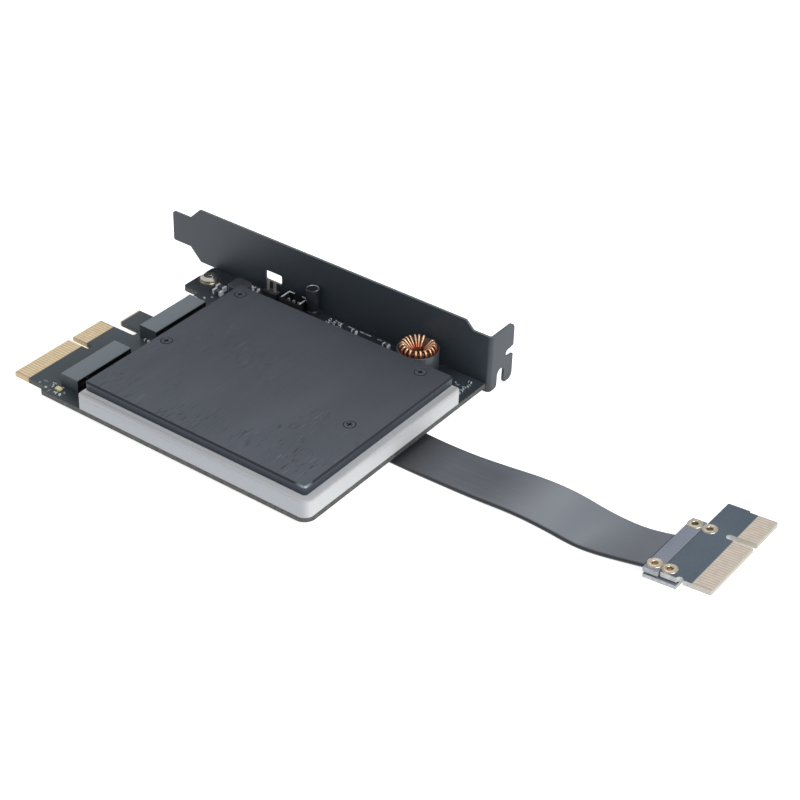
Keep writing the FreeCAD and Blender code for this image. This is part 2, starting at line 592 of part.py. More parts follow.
# ---------------------------------------------------------------------------------------------
# Bracket
# ---------------------------------------------------------------------------------------------
def bracket():
    """Folded sheet: blade with its tail and window, flange with its screw slot, and two tabs."""
    body = new_body("bracket")
    blade_high = "(blade_wide - blade_low)"
    tail_low = "((blade_wide - tail_wide)/2 - blade_low)"
    tail_high = "((blade_wide + tail_wide)/2 - blade_low)"
    tail_end = "(tail_long - tail_tip)"
    taper_end = "(tail_long - tail_tip + (blade_wide - tail_wide)/2)"
    tab_under = "(-board_thick - sheet_thick)"
    outline = [
        ("-tail_tip", tail_low), (tail_end, tail_low), (taper_end, "-blade_low"),
        ("tab_low_y - tab_wide/2", "-blade_low"), ("tab_low_y - tab_wide/2", tab_under),
        ("tab_low_y + tab_wide/2", tab_under), ("tab_low_y + tab_wide/2", "-blade_low"),
        ("tab_high_y - tab_wide/2", "-blade_low"), ("tab_high_y - tab_wide/2", tab_under),
        ("tab_high_y + tab_wide/2", tab_under), ("tab_high_y + tab_wide/2", "-blade_low"),
        ("flange_face - low_step - flange_low + blade_low", "-blade_low"),
        ("flange_face - low_step", "-flange_low"), ("flange_face", "-flange_low"),
        ("flange_face", f"{blade_high} - blade_corner"),
        ("flange_face - blade_step", f"{blade_high} - blade_corner"),
        ("flange_face - blade_step - blade_corner", blade_high),
        (taper_end, blade_high), (tail_end, tail_high), ("-tail_tip", tail_high)]
    blade = add_outline(new_sketch(body, "blade_outline", "YZ", "-bracket_face"), outline)
    add_rectangle(blade, "window_y - window_wide/2", "window_y + window_wide/2",
                  "window_z - window_high/2", "window_z + window_high/2")
    pad(body, blade, "sheet_thick", backwards=True)

    outer = "(-bracket_face - flange_reach)"
    slot_left = "(-bracket_face - slot_x - slot_wide/2)"
    slot_right = "(-bracket_face - slot_x + slot_wide/2)"
    slot_top = "(slot_deep - hook_low)"
    flange = [
        ("-bracket_face", f"{blade_high} - blade_corner"), ("-bracket_face", "-flange_low"),
        (slot_right, "-flange_low"), (slot_right, slot_top), (slot_left, slot_top),
        (slot_left, "-hook_low"), (outer, "-hook_low"), (outer, "nick_z - nick_wide/2"),
        (f"{outer} + nick_deep", "nick_z - nick_floor/2"), (f"{outer} + nick_deep", "nick_z + nick_floor/2"),
        (outer, "nick_z + nick_wide/2"), (outer, f"{blade_high} - blade_corner")]
    pad(body, add_outline(new_sketch(body, "flange_outline", "XZ", "-flange_face"), flange), "sheet_thick")

    tabs = new_sketch(body, "tab_outline", "XY", "-board_thick")
    for x, y in TAB_PLACES:
        add_rectangle(tabs, "-bracket_face - sheet_thick", "-bracket_face + tab_long",
                      f"{y} - tab_wide/2", f"{y} + tab_wide/2")
        add_circle(tabs, x, y, "screw_radius + thread_slack")
    pad(body, tabs, "sheet_thick", backwards=True)

    dress(body, "Fillet", [upright_at("-bracket_face", "flange_face")], "bend_inner + sheet_thick")
    dress(body, "Fillet", [upright_at("-bracket_face - sheet_thick", "flange_face - sheet_thick")],
          "bend_inner")
    dress(body, "Fillet", [along_y_at("-bracket_face - sheet_thick", tab_under)], "bend_inner + sheet_thick")
    dress(body, "Fillet", [along_y_at("-bracket_face - flange_reach", f"{blade_high} - blade_corner")],
          "flange_round")
    dress(body, "Fillet", [along_y_at(outer, "-hook_low")], "hook_round")
    dress(body, "Fillet", [along_y_at(slot_left, "-hook_low")], "hook_round*0.6")
    dress(body, "Fillet", [along_y_at(slot_left, slot_top), along_y_at(slot_right, slot_top)],
          "slot_wide*0.45")
    nick_x = f"{outer} + nick_deep"
    dress(body, "Fillet", [along_y_at(nick_x, f"nick_z {side} nick_floor/2") for side in "+-"],
          "nick_floor*0.4")
    dress(body, "Fillet", [along_y_at(slot_right, "-flange_low")], "hook_round*0.6")
    dress(body, "Fillet", [along_x_at("-tail_tip", tail_low), along_x_at("-tail_tip", tail_high)],
          "tail_round")
    dress(body, "Fillet", [along_x_at(f"window_y {a} window_wide/2", f"window_z {b} window_high/2")
                           for a in "+-" for b in "+-"], "window_round")
    dress(body, "Fillet", [upright_at("-bracket_face + tab_long", f"{y} {side} tab_wide/2")
                           for y in ("tab_low_y", "tab_high_y") for side in "+-"], "tail_round")
    return keep(body)


def bracket_screws():
    """Pan-head screw down into the tab by the contacts, and a flat rivet under the tab by the flange."""
    (x, y), (rivet_x, rivet_y) = TAB_PLACES
    crown, under = "screw_head_high - screw_edge", "-board_thick - sheet_thick"
    whole = fused("bracket_screw_whole", [
        rod("bracket_screw_head", x, y, "0", crown, "screw_head"),
        taper("bracket_screw_crown", x, y, crown, "screw_head_high",
              "screw_head", "screw_head - screw_edge*1.6"),
        rod("bracket_screw_shank", x, y, under, "0", "screw_radius")])
    recess = cross("bracket_screw_recess", x, y, "screw_head_high - screw_recess", "screw_head_high + 1",
                   "screw_head*0.52", "screw_head*0.22")
    rivet = fused("bracket_rivet", [
        rod("bracket_rivet_head", rivet_x, rivet_y, f"{under} - rivet_high", under, "screw_head"),
        rod("bracket_rivet_shank", rivet_x, rivet_y, under, "0", "screw_radius")])
    return keep(group("bracket_screws", [cut("bracket_screw", whole, recess), rivet]))


# ---------------------------------------------------------------------------------------------
# Heatsink plate, posts, pads and the light guide
# ---------------------------------------------------------------------------------------------
PLATE_TOP = "guide_thick + plate_thick"


def heatsink_plate():
    """Flat aluminium plate with a bevelled rim and four countersunk holes."""
    body = new_body("heatsink_plate")
    base = new_sketch(body, "plate_outline", "XY", "guide_thick")
    add_rectangle(base, "-plate_left", "plate_right", "plate_low", "plate_high")
    pad(body, base, "plate_thick")
    dress(body, "Fillet", [upright_at(x, y) for x in ("-plate_left", "plate_right")
                           for y in ("plate_low", "plate_high")], "plate_round")
    top = number(PLATE_TOP)
    dress(body, "Chamfer", [lambda edge, middle, ends: abs(middle.z - top) < NEAR], "plate_bevel")
    holes = new_sketch(body, "plate_holes", "XY", PLATE_TOP)
    for x, y in POST_PLACES:
        add_circle(holes, x, y, "plate_screw_radius + hole_slack")
    pocket(body, holes)
    rims = [lambda edge, middle, ends: abs(middle.z - top) < NEAR and len(ends) == 1]
    dress(body, "Chamfer", rims, "plate_screw_head - plate_screw_radius - thread_slack")
    return keep(body)


def plate_screws():
    """Flat-head screws, level with the plate's upper face."""
    screws = []
    sink = "(plate_screw_head - plate_screw_radius - hole_slack)"
    for index, (x, y) in enumerate(POST_PLACES, start=1):
        name = f"plate_screw_{index}"
        head = taper(name + "_head", x, y, f"{PLATE_TOP} - {sink}", PLATE_TOP,
                     "plate_screw_radius", "plate_screw_head - hole_slack")
        shank = rod(name + "_shank", x, y, "guide_thick - plate_screw_grip", f"{PLATE_TOP} - {sink}*0.5",
                    "plate_screw_radius")
        whole = fused(name + "_whole", [head, shank])
        recess = cross(name + "_recess", x, y, f"{PLATE_TOP} - plate_recess", f"{PLATE_TOP} + 1",
                       "plate_screw_head*0.5", "plate_screw_head*0.22")
        screws.append(cut(name, whole, recess))
    return keep(group("plate_screws", screws))


def hex_post(name, x, y, high, radius, bore_deep, bore_radius):
    """Hexagonal post soldered to the board, with a bore from its top."""
    barrel = doc.addObject("Part::Prism", name + "_barrel")
    barrel.Polygon = 6
    bind(barrel, Circumradius=radius, Height=high, Placement__Base__x=x, Placement__Base__y=y)
    bore = rod(name + "_bore", x, y, f"{high} - ({bore_deep})", f"{high} + 1", bore_radius)
    return cut(name, barrel, bore)


def plate_posts():
    """Threaded posts under the plate's screws."""
    posts = [hex_post(f"plate_post_{index}", x, y, "guide_thick", "post_radius",
                      "plate_screw_grip + bore_spare", "plate_screw_radius + thread_slack")
             for index, (x, y) in enumerate(POST_PLACES, start=1)]
    return keep(group("plate_posts", posts))


def light_guide():
    """Clear plastic frame, open towards the sockets, with a groove underneath for the light chips."""
    body = new_body("light_guide")
    right, high = "guide_right - guide_wall", "guide_high - guide_wall"
    outline = [
        ("guide_right", "guide_low"), ("guide_right", "guide_high"), ("-guide_left", "guide_high"),
        ("-guide_left", "guide_low"), ("-guide_left + guide_wall_left", "guide_low"),
        ("-guide_left + guide_wall_left", high), (right, high), (right, "guide_low")]
    pad(body, add_outline(new_sketch(body, "guide_outline", "XY"), outline), "guide_thick")
    dress(body, "Fillet", [upright_at("guide_right", "guide_high")], "guide_round")
    dress(body, "Fillet", [upright_at(right, high)], "guide_round*0.4")
    side_edge, back_edge, top = number("guide_right"), number("guide_high"), number("guide_thick")
    dress(body, "Fillet", [lambda edge, middle, ends: abs(middle.z - top) < NEAR and (
        abs(middle.x - side_edge) < NEAR or abs(middle.y - back_edge) < NEAR)], "guide_shoulder")
    groove = new_sketch(body, "guide_groove", "XY")
    side = "guide_right - lamp_inset - lamp_groove"
    back = "guide_high - lamp_inset - lamp_groove"
    add_outline(groove, [
        (side, "guide_low + lamp_inset"), ("guide_right - lamp_inset", "guide_low + lamp_inset"),
        ("guide_right - lamp_inset", "guide_high - lamp_inset"),
        ("-guide_left + lamp_inset", "guide_high - lamp_inset"),
        ("-guide_left + lamp_inset", back), (side, back)])
    pocket(body, groove, "lamp_groove_high", backwards=True)
    return keep(body)


def edge_lights():
    """Light chips on the board, inside the light guide's groove."""
    chips = []
    middle = "guide_right - lamp_inset - lamp_groove/2"
    back = "guide_high - lamp_inset - lamp_groove/2"
    for index in range(5):
        y = f"guide_low + lamp_first + {index}*lamp_pitch"
        chips.append(box(f"side_light_{index + 1}", f"{middle} - lamp_wide/2", f"{middle} + lamp_wide/2",
                         f"{y} - lamp_long/2", f"{y} + lamp_long/2", "0", "lamp_high"))
    for index in range(4):
        x = f"-guide_left + lamp_first + {index}*lamp_pitch"
        chips.append(box(f"back_light_{index + 1}", f"{x} - lamp_long/2", f"{x} + lamp_long/2",
                         f"{back} - lamp_wide/2", f"{back} + lamp_wide/2", "0", "lamp_high"))
    return keep(group("edge_lights", chips))


def thermal_pads():
    """Soft pads stuck to the underside of the plate, over each drive bay."""
    for label, x in (("thermal_pad_far", "socket_one_x"), ("thermal_pad_near", "-socket_two_x")):
        strip = box(label, f"{x} - pad_wide/2", f"{x} + pad_wide/2", "pad_y", "pad_y + pad_long",
                    "guide_thick - pad_thick", "guide_thick")
        strip.Label = label
        keep(strip)


# ---------------------------------------------------------------------------------------------
# Drive sockets, standoffs and drive screws
# ---------------------------------------------------------------------------------------------
def drive_socket(label, x):
    """Card-edge socket with a keyed mouth towards +Y, drawn about its own middle."""
    body = new_body(label)
    back, front = "socket_y", "socket_y + socket_deep"
    side = new_sketch(body, label + "_side", "YZ", "-socket_wide/2")
    add_outline(side, [
        (back, "0"), (front, "0"), (front, "slot_level"), (f"{front} - slot_reach", "slot_level"),
        (f"{front} - slot_reach", "slot_level + slot_open"), (front, "slot_level + slot_open"),
        (front, "socket_high - socket_bevel"), (f"{front} - socket_bevel", "socket_high"),
        (f"{back} + socket_bevel", "socket_high"), (back, "socket_high - socket_bevel")])
    pad(body, side, "socket_wide")
    cheeks = new_sketch(body, label + "_cheeks", "XZ", f"-({front})")
    cheek = "(socket_wide - slot_mouth)/2"
    for low, high in (("-socket_wide/2", f"-socket_wide/2 + {cheek}"),
                      (f"socket_wide/2 - {cheek}", "socket_wide/2"),
                      ("slot_key_x - slot_key/2", "slot_key_x + slot_key/2")):
        add_rectangle(cheeks, low, high, "slot_level - socket_fill", "slot_level + slot_open + socket_fill")
    pad(body, cheeks, "slot_reach + socket_fill")
    body.Placement = Placement()
    bind(body, Placement__Base__x=x)
    return keep(body)


def socket_leads(label, x):
    """Solder tails of a socket's contacts, in a row behind it."""
    body = new_body(label, several=True)
    first = "-tail_pitch*(tail_count - 1)/2"
    tails = new_sketch(body, label + "_tails", "XZ", "-socket_y")
    add_rectangle(tails, f"{first} - lead_wide/2", f"{first} + lead_wide/2", "0", "lead_thick")
    row = pad(body, tails, "lead_reach")
    row_of(body, row, "tail_pitch", "tail_count")
    body.Placement = Placement()
    bind(body, Placement__Base__x=x)
    return keep(body)


def standoffs():
    """Threaded standoffs that hold the far ends of the drives."""
    things = [hex_post(f"standoff_{index}", x, y, "standoff_high", "standoff_radius",
                       "standoff_bore", "drive_screw_radius + thread_slack")
              for index, (x, y) in enumerate(DRIVE_PLACES, start=1)]
    return keep(group("drive_standoffs", things))


def drive_screws():
    """Screws kept in the standoffs until a drive is fitted."""
    things = []
    for index, (x, y) in enumerate(DRIVE_PLACES, start=1):
        name = f"drive_screw_{index}"
        head = rod(name + "_head", x, y, "standoff_high", "standoff_high + drive_screw_head_high",
                   "drive_screw_head")
        shank = rod(name + "_shank", x, y, "standoff_high - standoff_bore + bore_spare", "standoff_high",
                    "drive_screw_radius")
        things.append(fused(name, [head, shank]))
    return keep(group("drive_screws", things))


# ---------------------------------------------------------------------------------------------
# Choke: case, ring core and winding
# ---------------------------------------------------------------------------------------------
def choke_case():
    """Round open pot that holds the choke."""
    pot = rod("case_outside", "-choke_x", "choke_y", "0", "case_high", "case_radius")
    room = rod("case_inside", "-choke_x", "choke_y", "case_floor", "case_high + 1",
               "case_radius - case_wall")
    whole = cut("choke_case", pot, room)
    whole.Label = "choke_case"
    return keep(whole)


def core_corners():
    """Corners of the core's section, across from its axis and up: the upper face falls to the bore."""
    top, bore_top = "core_level + core_high", "core_level + core_high - core_dip"
    return [("core_outer", "core_level + core_round"), ("core_outer", f"{top} - core_round"),
            ("core_outer - core_round", top), ("core_inner", bore_top),
            ("core_inner", "core_level + core_round"), ("core_inner + core_round", "core_level"),
            ("core_outer - core_round", "core_level")]


def choke_core():
    """Ring core with broken edges, sunk towards its bore."""
    body = new_body("choke_core")
    section = new_sketch(body, "core_section", "XZ")
    add_outline(section, core_corners())
    ring = body.newObject("PartDesign::Revolution", "core_ring")
    ring.Profile = section
    ring.ReferenceAxis = (section, ["V_Axis"])
    ring.Angle = 360
    body.Placement = Placement()
    bind(body, Placement__Base__x="-choke_x", Placement__Base__y="choke_y")
    return keep(body)


def moved_out(corners, by):
    """Corners of a convex outline in the XZ plane, with every side moved out by a distance."""
    moved = []
    for before, corner, after in zip(corners[-1:] + corners, corners, corners[1:] + corners[:1]):
        arriving, leaving = (Vector(0, 1, 0).cross((end - start).normalize())
                             for start, end in ((before, corner), (corner, after)))
        moved.append(corner + (arriving + leaving) * (by / (1 + arriving.dot(leaving))))
    return moved


def choke_winding():
    """Enamelled wire: one closed turn after another round the core's section, with the ends apart."""
    radius = number("wire_radius")
    centre_line = moved_out([Vector(number(across), 0, number(up)) for across, up in core_corners()], radius)
    start = (centre_line[0] + centre_line[1]) * 0.5
    path = Part.makePolygon([start] + centre_line[1:] + [centre_line[0], start])
    section = Part.makePolygon([
        start + Vector(math.cos(math.pi / 3 * side), math.sin(math.pi / 3 * side), 0) * radius
        for side in range(7)])
    turn = path.makePipeShell([section], True, False, 1).removeSplitter()
    count = int(number("turn_count"))
    gap = number("turn_gap")
    turns = []
    for index in range(count):
        angle = number("turn_facing") + gap / 2 + (360 - gap) * (index + 0.5) / count
        turned = turn.copy()
        turned.rotate(Vector(0, 0, 0), Vector(0, 0, 1), angle)
        turns.append(turned)
    winding = doc.addObject("Part::Feature", "choke_winding")
    winding.Label = "choke_winding"
    winding.Shape = Part.makeCompound(turns)
    winding.Placement = Placement(Vector(-number("choke_x"), number("choke_y"), 0), Rotation())
    return keep(winding)


# ---------------------------------------------------------------------------------------------
# Small parts on the component side, and solder joints under the board
# ---------------------------------------------------------------------------------------------
def can_capacitor():
    """Electrolytic capacitor on a square base, with a groove near its foot."""
    x, y = "-can_x", "can_y"
    base = box("can_foot", f"{x} - can_radius*1.05", f"{x} + can_radius*1.05",
               f"{y} - can_radius*1.05", f"{y} + can_radius*1.05", "0", "can_base")
    base.Label = "can_base"
    keep(base)
    can = new_body("capacitor_can")
    section = new_sketch(can, "can_section", "XZ")
    add_outline(section, [
        ("0", "can_base"), ("can_radius", "can_base"), ("can_radius", "can_base + can_neck"),
        ("can_radius - can_pinch", "can_base + can_neck*1.5"), ("can_radius", "can_base + can_neck*2"),
        ("can_radius", "can_high - can_pinch"), ("can_radius - can_pinch", "can_high"), ("0", "can_high")])
    turned = can.newObject("PartDesign::Revolution", "can_turned")
    turned.Profile = section
    turned.ReferenceAxis = (section, ["V_Axis"])
    turned.Angle = 360
    can.Placement = Placement()
    bind(can, Placement__Base__x=x, Placement__Base__y=y)
    return keep(can)


def light_connector():
    """Open-topped connector shroud for the lights, with three pins."""
    x, y = "-shroud_x", "shroud_y"
    outside = box("shroud_outside", f"{x} - shroud_wide/2", f"{x} + shroud_wide/2",
                  f"{y} - shroud_long/2", f"{y} + shroud_long/2", "0", "shroud_high")
    inside = box("shroud_inside", f"{x} - shroud_wide/2 + shroud_wall", f"{x} + shroud_wide/2 - shroud_wall",
                 f"{y} - shroud_long/2 + shroud_wall", f"{y} + shroud_long/2 - shroud_wall",
                 "shroud_wall*2", "shroud_high + 1")
    notch = box("shroud_notch", f"{x} - shroud_wide/2 - 1", f"{x} - shroud_wide/2 + shroud_wall + 0.1",
                f"{y} - shroud_long*0.2", f"{y} + shroud_long*0.2", "shroud_high*0.6", "shroud_high + 1")
    shell = cut("light_connector", outside, fused("shroud_room", [inside, notch]))
    shell.Label = "light_connector"
    keep(shell)
    pins = []
    for index, step in enumerate((-1, 0, 1), start=1):
        place = f"{y} + {step}*(shroud_long - 2*shroud_wall)*0.3"
        pins.append(box(f"connector_pin_{index}", f"{x} - pin_wide/2", f"{x} + pin_wide/2",
                        f"{place} - pin_wide/2", f"{place} + pin_wide/2",
                        "shroud_wall*2", "shroud_high*0.8"))
    keep(group("connector_pins", pins))


def pin_header():
    """Two-pin header beside the bracket's window."""
    places = ["header_y - pin_pitch/2", "header_y + pin_pitch/2"]
    base = box("header_block", "-header_x - pin_pitch/2", "-header_x + pin_pitch/2",
               "header_y - pin_pitch", "header_y + pin_pitch", "0", "pin_base")
    holes = [box(f"header_hole_{i}", "-header_x - pin_wide/2", "-header_x + pin_wide/2", f"{y} - pin_wide/2",
                 f"{y} + pin_wide/2", "-1", "pin_base + 1") for i, y in enumerate(places, start=1)]
    block = cut("header_base", base, fused("header_holes", holes))
    block.Label = "header_base"
    keep(block)
    pins = [box(f"header_pin_{i}", "-header_x - pin_wide/2", "-header_x + pin_wide/2", f"{y} - pin_wide/2",
                f"{y} + pin_wide/2", "0", "pin_high") for i, y in enumerate(places, start=1)]
    keep(group("header_pins", pins))


def shielded_coil():
    """Square moulded coil with cut corners."""
    body = new_body("shielded_coil")
    half = "power_coil_wide/2"
    cut_off = "power_coil_wide/2 - power_coil_wide*0.16"
    corners = [(half, f"-({cut_off})"), (half, cut_off), (cut_off, half), (f"-({cut_off})", half),
               (f"-{half}", cut_off), (f"-{half}", f"-({cut_off})"), (f"-({cut_off})", f"-{half}"),
               (cut_off, f"-{half}")]
    pad(body, add_outline(new_sketch(body, "coil_outline", "XY"), corners), "power_coil_high")
    body.Placement = Placement()
    bind(body, Placement__Base__x="-power_coil_x", Placement__Base__y="power_coil_y")
    return keep(body)


def regulator():
    """Power regulator in an eight-lead package."""
    x, y = "-chip_x", "chip_y"
    case = box("regulator_chip", f"{x} - chip_wide/2", f"{x} + chip_wide/2", f"{y} - chip_long/2",
               f"{y} + chip_long/2", "0", "chip_high")
    case.Label = "regulator_chip"
    keep(case)
    leads = []
    for side in (-1, 1):
        for index in range(4):
            place = f"{y} + {index - 1.5}*chip_lead_pitch"
            edge = f"{x} + {side}*chip_wide/2"
            tip = f"{x} + {side}*(chip_wide/2 + chip_lead_reach)"
            low, high = (tip, edge) if side < 0 else (edge, tip)
            leads.append(box(f"regulator_lead_{(side + 1) * 2 + index + 1}", low, high,
                             f"{place} - chip_lead_wide/2", f"{place} + chip_lead_wide/2",
                             "0", "lead_thick"))
    keep(group("regulator_leads", leads))


# Small two-ended parts: X, Y, length along X, length along Y, height
SMALL_PARTS = [
    (-45.7, 17.4, 1.6, 3.2, 1.4), (-48.2, 16.6, 1.6, 3.2, 1.4), (-38.2, 14.2, 2.0, 1.2, 0.9),
    (-54.6, 25.2, 1.0, 1.9, 0.8), (-54.6, 22.6, 1.0, 1.9, 0.8), (-54.6, 19.6, 1.2, 2.0, 0.8),
    (-55.2, 53.2, 1.0, 0.55, 0.5), (-53.6, 53.4, 0.55, 1.0, 0.5), (-55.4, 55.0, 1.0, 0.55, 0.5),
    (-53.4, 55.6, 1.0, 0.55, 0.5), (-55.3, 56.8, 0.55, 1.0, 0.5), (-53.5, 57.6, 1.6, 0.8, 0.7),
    (-54.6, 62.8, 0.9, 1.8, 0.7), (-54.5, 74.6, 1.2, 2.2, 0.8), (-55.0, 79.2, 1.0, 1.6, 0.7),
    (-49.6, 63.6, 3.2, 1.6, 1.3), (-49.6, 76.6, 3.2, 1.6, 1.3), (-49.6, 60.4, 1.6, 0.8, 0.7),
    (-48.4, 105.4, 1.6, 0.8, 0.6), (-50.6, 105.2, 1.0, 0.55, 0.5), (-52.4, 105.5, 1.0, 0.55, 0.5),
    (-54.2, 104.8, 0.55, 1.0, 0.5), (2.7, 12.6, 1.6, 0.8, 0.6), (-1.6, 12.4, 1.6, 0.8, 0.6),
    (23.2, 17.9, 0.8, 1.6, 0.5), (20.4, 13.8, 1.0, 0.5, 0.4), (-12.6, 18.6, 0.8, 1.6, 0.6),
]


def small_parts():
    """Ceramic capacitors and resistors: bodies in one group, plated ends in another."""
    bodies, ends = [], []
    for index, (x, y, along_x, along_y, high) in enumerate(SMALL_PARTS, start=1):
        lengthwise = along_x > along_y
        reach = f"{max(along_x, along_y) / 2}"
        wide = f"{min(along_x, along_y) / 2}"
        inner = f"({reach} - {reach}*2*end_share)"
        spans = {"body": (f"-{inner}", inner), "end_one": (f"-{reach}", f"-{inner}"),
                 "end_two": (inner, reach)}
        for part_name, (low, high_end) in spans.items():
            long_span = (low, high_end)
            wide_span = (f"-{wide}", wide)
            x_span, y_span = (long_span, wide_span) if lengthwise else (wide_span, long_span)
            thing = box(f"small_{index}_{part_name}", f"{x} + {x_span[0]}", f"{x} + {x_span[1]}",
                        f"{y} + {y_span[0]}", f"{y} + {y_span[1]}", "0", f"{high}")
            (bodies if part_name == "body" else ends).append(thing)
    keep(group("small_part_bodies", bodies))
    keep(group("small_part_ends", ends))


def status_light():
    """Small amber indicator beside the far socket."""
    light = box("status_light", "amber_x - amber_wide/2", "amber_x + amber_wide/2",
                "amber_y - amber_long/2", "amber_y + amber_long/2", "0", "amber_high")
    light.Label = "status_light"
    return keep(light)


def solder_joints():
    """Solder cones under the board, below the parts whose wires pass through it."""
    places = [("-header_x", "header_y - pin_pitch/2"), ("-header_x", "header_y + pin_pitch/2")]
    places += [("-shroud_x", f"shroud_y + {step}*(shroud_long - 2*shroud_wall)*0.3") for step in (-1, 0, 1)]
    places += [("-choke_x", "choke_y - core_outer"), ("-choke_x", "choke_y + core_outer")]
    cones = []
    for index, (x, y) in enumerate(places, start=1):
        rings = []
        for level, radius in (("-board_thick", "joint_radius"), ("-board_thick - joint_high", "joint_tip")):
            ring = doc.addObject("Part::RegularPolygon", f"solder_ring_{index}_{len(rings)}")
            ring.Polygon = 8
            bind(ring, Circumradius=radius, Placement__Base__x=x, Placement__Base__y=y,
                 Placement__Base__z=level)
            rings.append(ring)
        cone = doc.addObject("Part::Loft", f"solder_joint_{index}")
        cone.Sections = rings
        cone.Solid = True
        cone.Ruled = True
        cones.append(cone)
    return keep(group("solder_joints", cones))


# ---------------------------------------------------------------------------------------------
# Flat cable with its end bars, joining plate and eyelets
# ---------------------------------------------------------------------------------------------
# Route of the cable's middle: distance along Y, and level
CABLE_ROUTE = [(82.7, -2.62), (92.6, -2.6), (102.6, -2.68), (112.5, -2.92), (124.0, -2.74),
               (135.5, -2.05), (146.5, -1.2), (156.5, -1.35), (165.5, -2.32), (171.3, -2.38),
               (177.0, -1.87), (182.0, -0.98)]


def cable_end():
    """Middle of the end bar's face that the cable meets, from the end board's own place."""
    lean = math.radians(number("end_pitch"))
    back = number("end_back + end_bar_gap + bar_deep + bar_seam")
    below = number("cable_thick") / 2
    x = number("-end_x + key_gap/2 + long_tab + end_bar_over - end_bar_inset - cable_wide/2")
    y = number("end_y") - back * math.cos(lean) + below * math.sin(lean)
    z = number("end_z") - back * math.sin(lean) - below * math.cos(lean)
    return Vector(x, y, z)


def rounded_path(points):
    """Straight runs joined by tangent arcs, each as large as its two runs allow."""
    edges = []
    last = points[0]
    for here, behind, ahead in zip(points[1:-1], points[:-2], points[2:]):
        back = behind - here
        forth = ahead - here
        shorter = min(back.Length, forth.Length)
        half_turn = (math.pi - back.getAngle(forth)) / 2
        radius = 0.45 * shorter / math.tan(half_turn)
        print(f"cable radius {radius:.0f} mm")
        reach = 0.45 * shorter
        start = here + Vector(back).normalize() * reach
        end = here + Vector(forth).normalize() * reach
        middle = here + (Vector(back).normalize() + Vector(forth).normalize()).normalize() * (
            radius / math.cos(half_turn) - radius)
        edges.append(Part.LineSegment(last, start).toShape())
        edges.append(Part.Arc(start, middle, end).toShape())
        last = end
    edges.append(Part.LineSegment(last, points[-1]).toShape())
    return Part.Wire(edges)


def flat_cable():
    """Flat cable between its two end bars, lying in one upright plane."""
    finish = cable_end()
    start = Vector(-number("cable_x"), CABLE_ROUTE[0][0], CABLE_ROUTE[0][1])
    points = []
    for along, level in CABLE_ROUTE:
        share = (along - start.y) / (finish.y - start.y)
        points.append(Vector(start.x + (finish.x - start.x) * share, along, level))
    points.append(finish)
    path = rounded_path(points)
    wide, thick = number("cable_wide"), number("cable_thick")
    direction = (points[1] - points[0]).normalize()
    sideways = direction.cross(Vector(0, 0, 1)).normalize()
    upward = sideways.cross(direction).normalize()
    corners = [points[0] + sideways * (wide / 2 * a) + upward * (thick / 2 * b)
               for a, b in ((-1, -1), (1, -1), (1, 1), (-1, 1))]
    section = Part.makePolygon(corners + corners[:1])
    strip = path.makePipeShell([section], True, False)
    ratio = strip.Volume / (wide * thick * path.Length)
    print(f"cable length {path.Length:.2f} mm, volume against section times length {ratio:.4f}")
    cable = doc.addObject("Part::Feature", "flat_cable")
    cable.Label = "flat_cable"
    cable.Shape = strip
    return keep(cable)


def eyelet(name, x, y, low, high):
    """Hollow rivet with a rolled rim at both ends."""
    whole = fused(name + "_whole", [
        rod(name + "_tube", x, y, low, high, "rivet_radius"),
        rod(name + "_upper", x, y, high, f"{high} + rivet_rim", "rivet_flare"),
        rod(name + "_lower", x, y, f"{low} - rivet_rim", low, "rivet_flare")])
    bore = rod(name + "_bore", x, y, f"{low} - 2", f"{high} + 2", "rivet_bore")
    return cut(name, whole, bore)


def bar_with_holes(label, x_low, x_high, y_low, y_high, z_low, z_high, holes):
    """Flat bar with eyelet holes."""
    blank = box(label + "_blank", x_low, x_high, y_low, y_high, z_low, z_high)
    bores = [rod(f"{label}_hole_{i}", x, y, f"{z_low} - 1", f"{z_high} + 1", "rivet_radius + hole_slack")
             for i, (x, y) in enumerate(holes, start=1)]
    bar = cut(label, blank, fused(label + "_bores", bores))
    bar.Label = label
    return bar


def cable_fittings():
    """End bars, joining plate and eyelets at both ends of the cable."""
    # under the board
    left = "-cable_x - cable_wide/2 - bar_side"
    right = "-cable_x + cable_wide/2 + bar_side"
    under = "-board_thick"
    bar = box("board_bar", left, right, "board_bar_y - bar_deep", "board_bar_y",
              f"{under} - bar_thick", under)
    bar.Label = "board_bar"
    keep(bar)

    # at the end board: x and y run from its key and tips
    row_back, row_front = "-rivet_first_y", "-rivet_first_y + rivet_row"
    columns = ["-rivet_first_x", "-rivet_first_x + rivet_span"]
    bar_right = f"{LONG_END} + end_bar_over"
    bar_back = "-end_back - end_bar_gap - bar_deep"
    end_bar = bar_with_holes("end_bar", f"{bar_right} - bar_wide", bar_right,
                             bar_back, "-end_back - end_bar_gap", "-bar_thick", "0",
                             [(x, row_back) for x in columns])
    place_on_end(end_bar)
    keep(end_bar)
    plate_top = "-board_thick - under_gap"
    plate_low = f"{plate_top} - under_thick"
    join = bar_with_holes("joining_plate", f"{bar_right} - bar_wide", bar_right,
                          bar_back, f"{bar_back} + under_deep", plate_low, plate_top,
                          [(x, y) for x in columns for y in (row_back, row_front)])
    place_on_end(join)
    keep(join)
    rivets = [eyelet(f"eyelet_{i}_{j}", x, y, plate_low, "0") for i, x in enumerate(columns, start=1)
              for j, y in enumerate((row_back, row_front), start=1)]
    rivet_group = group("eyelets", rivets)
    place_on_end(rivet_group)
    keep(rivet_group)


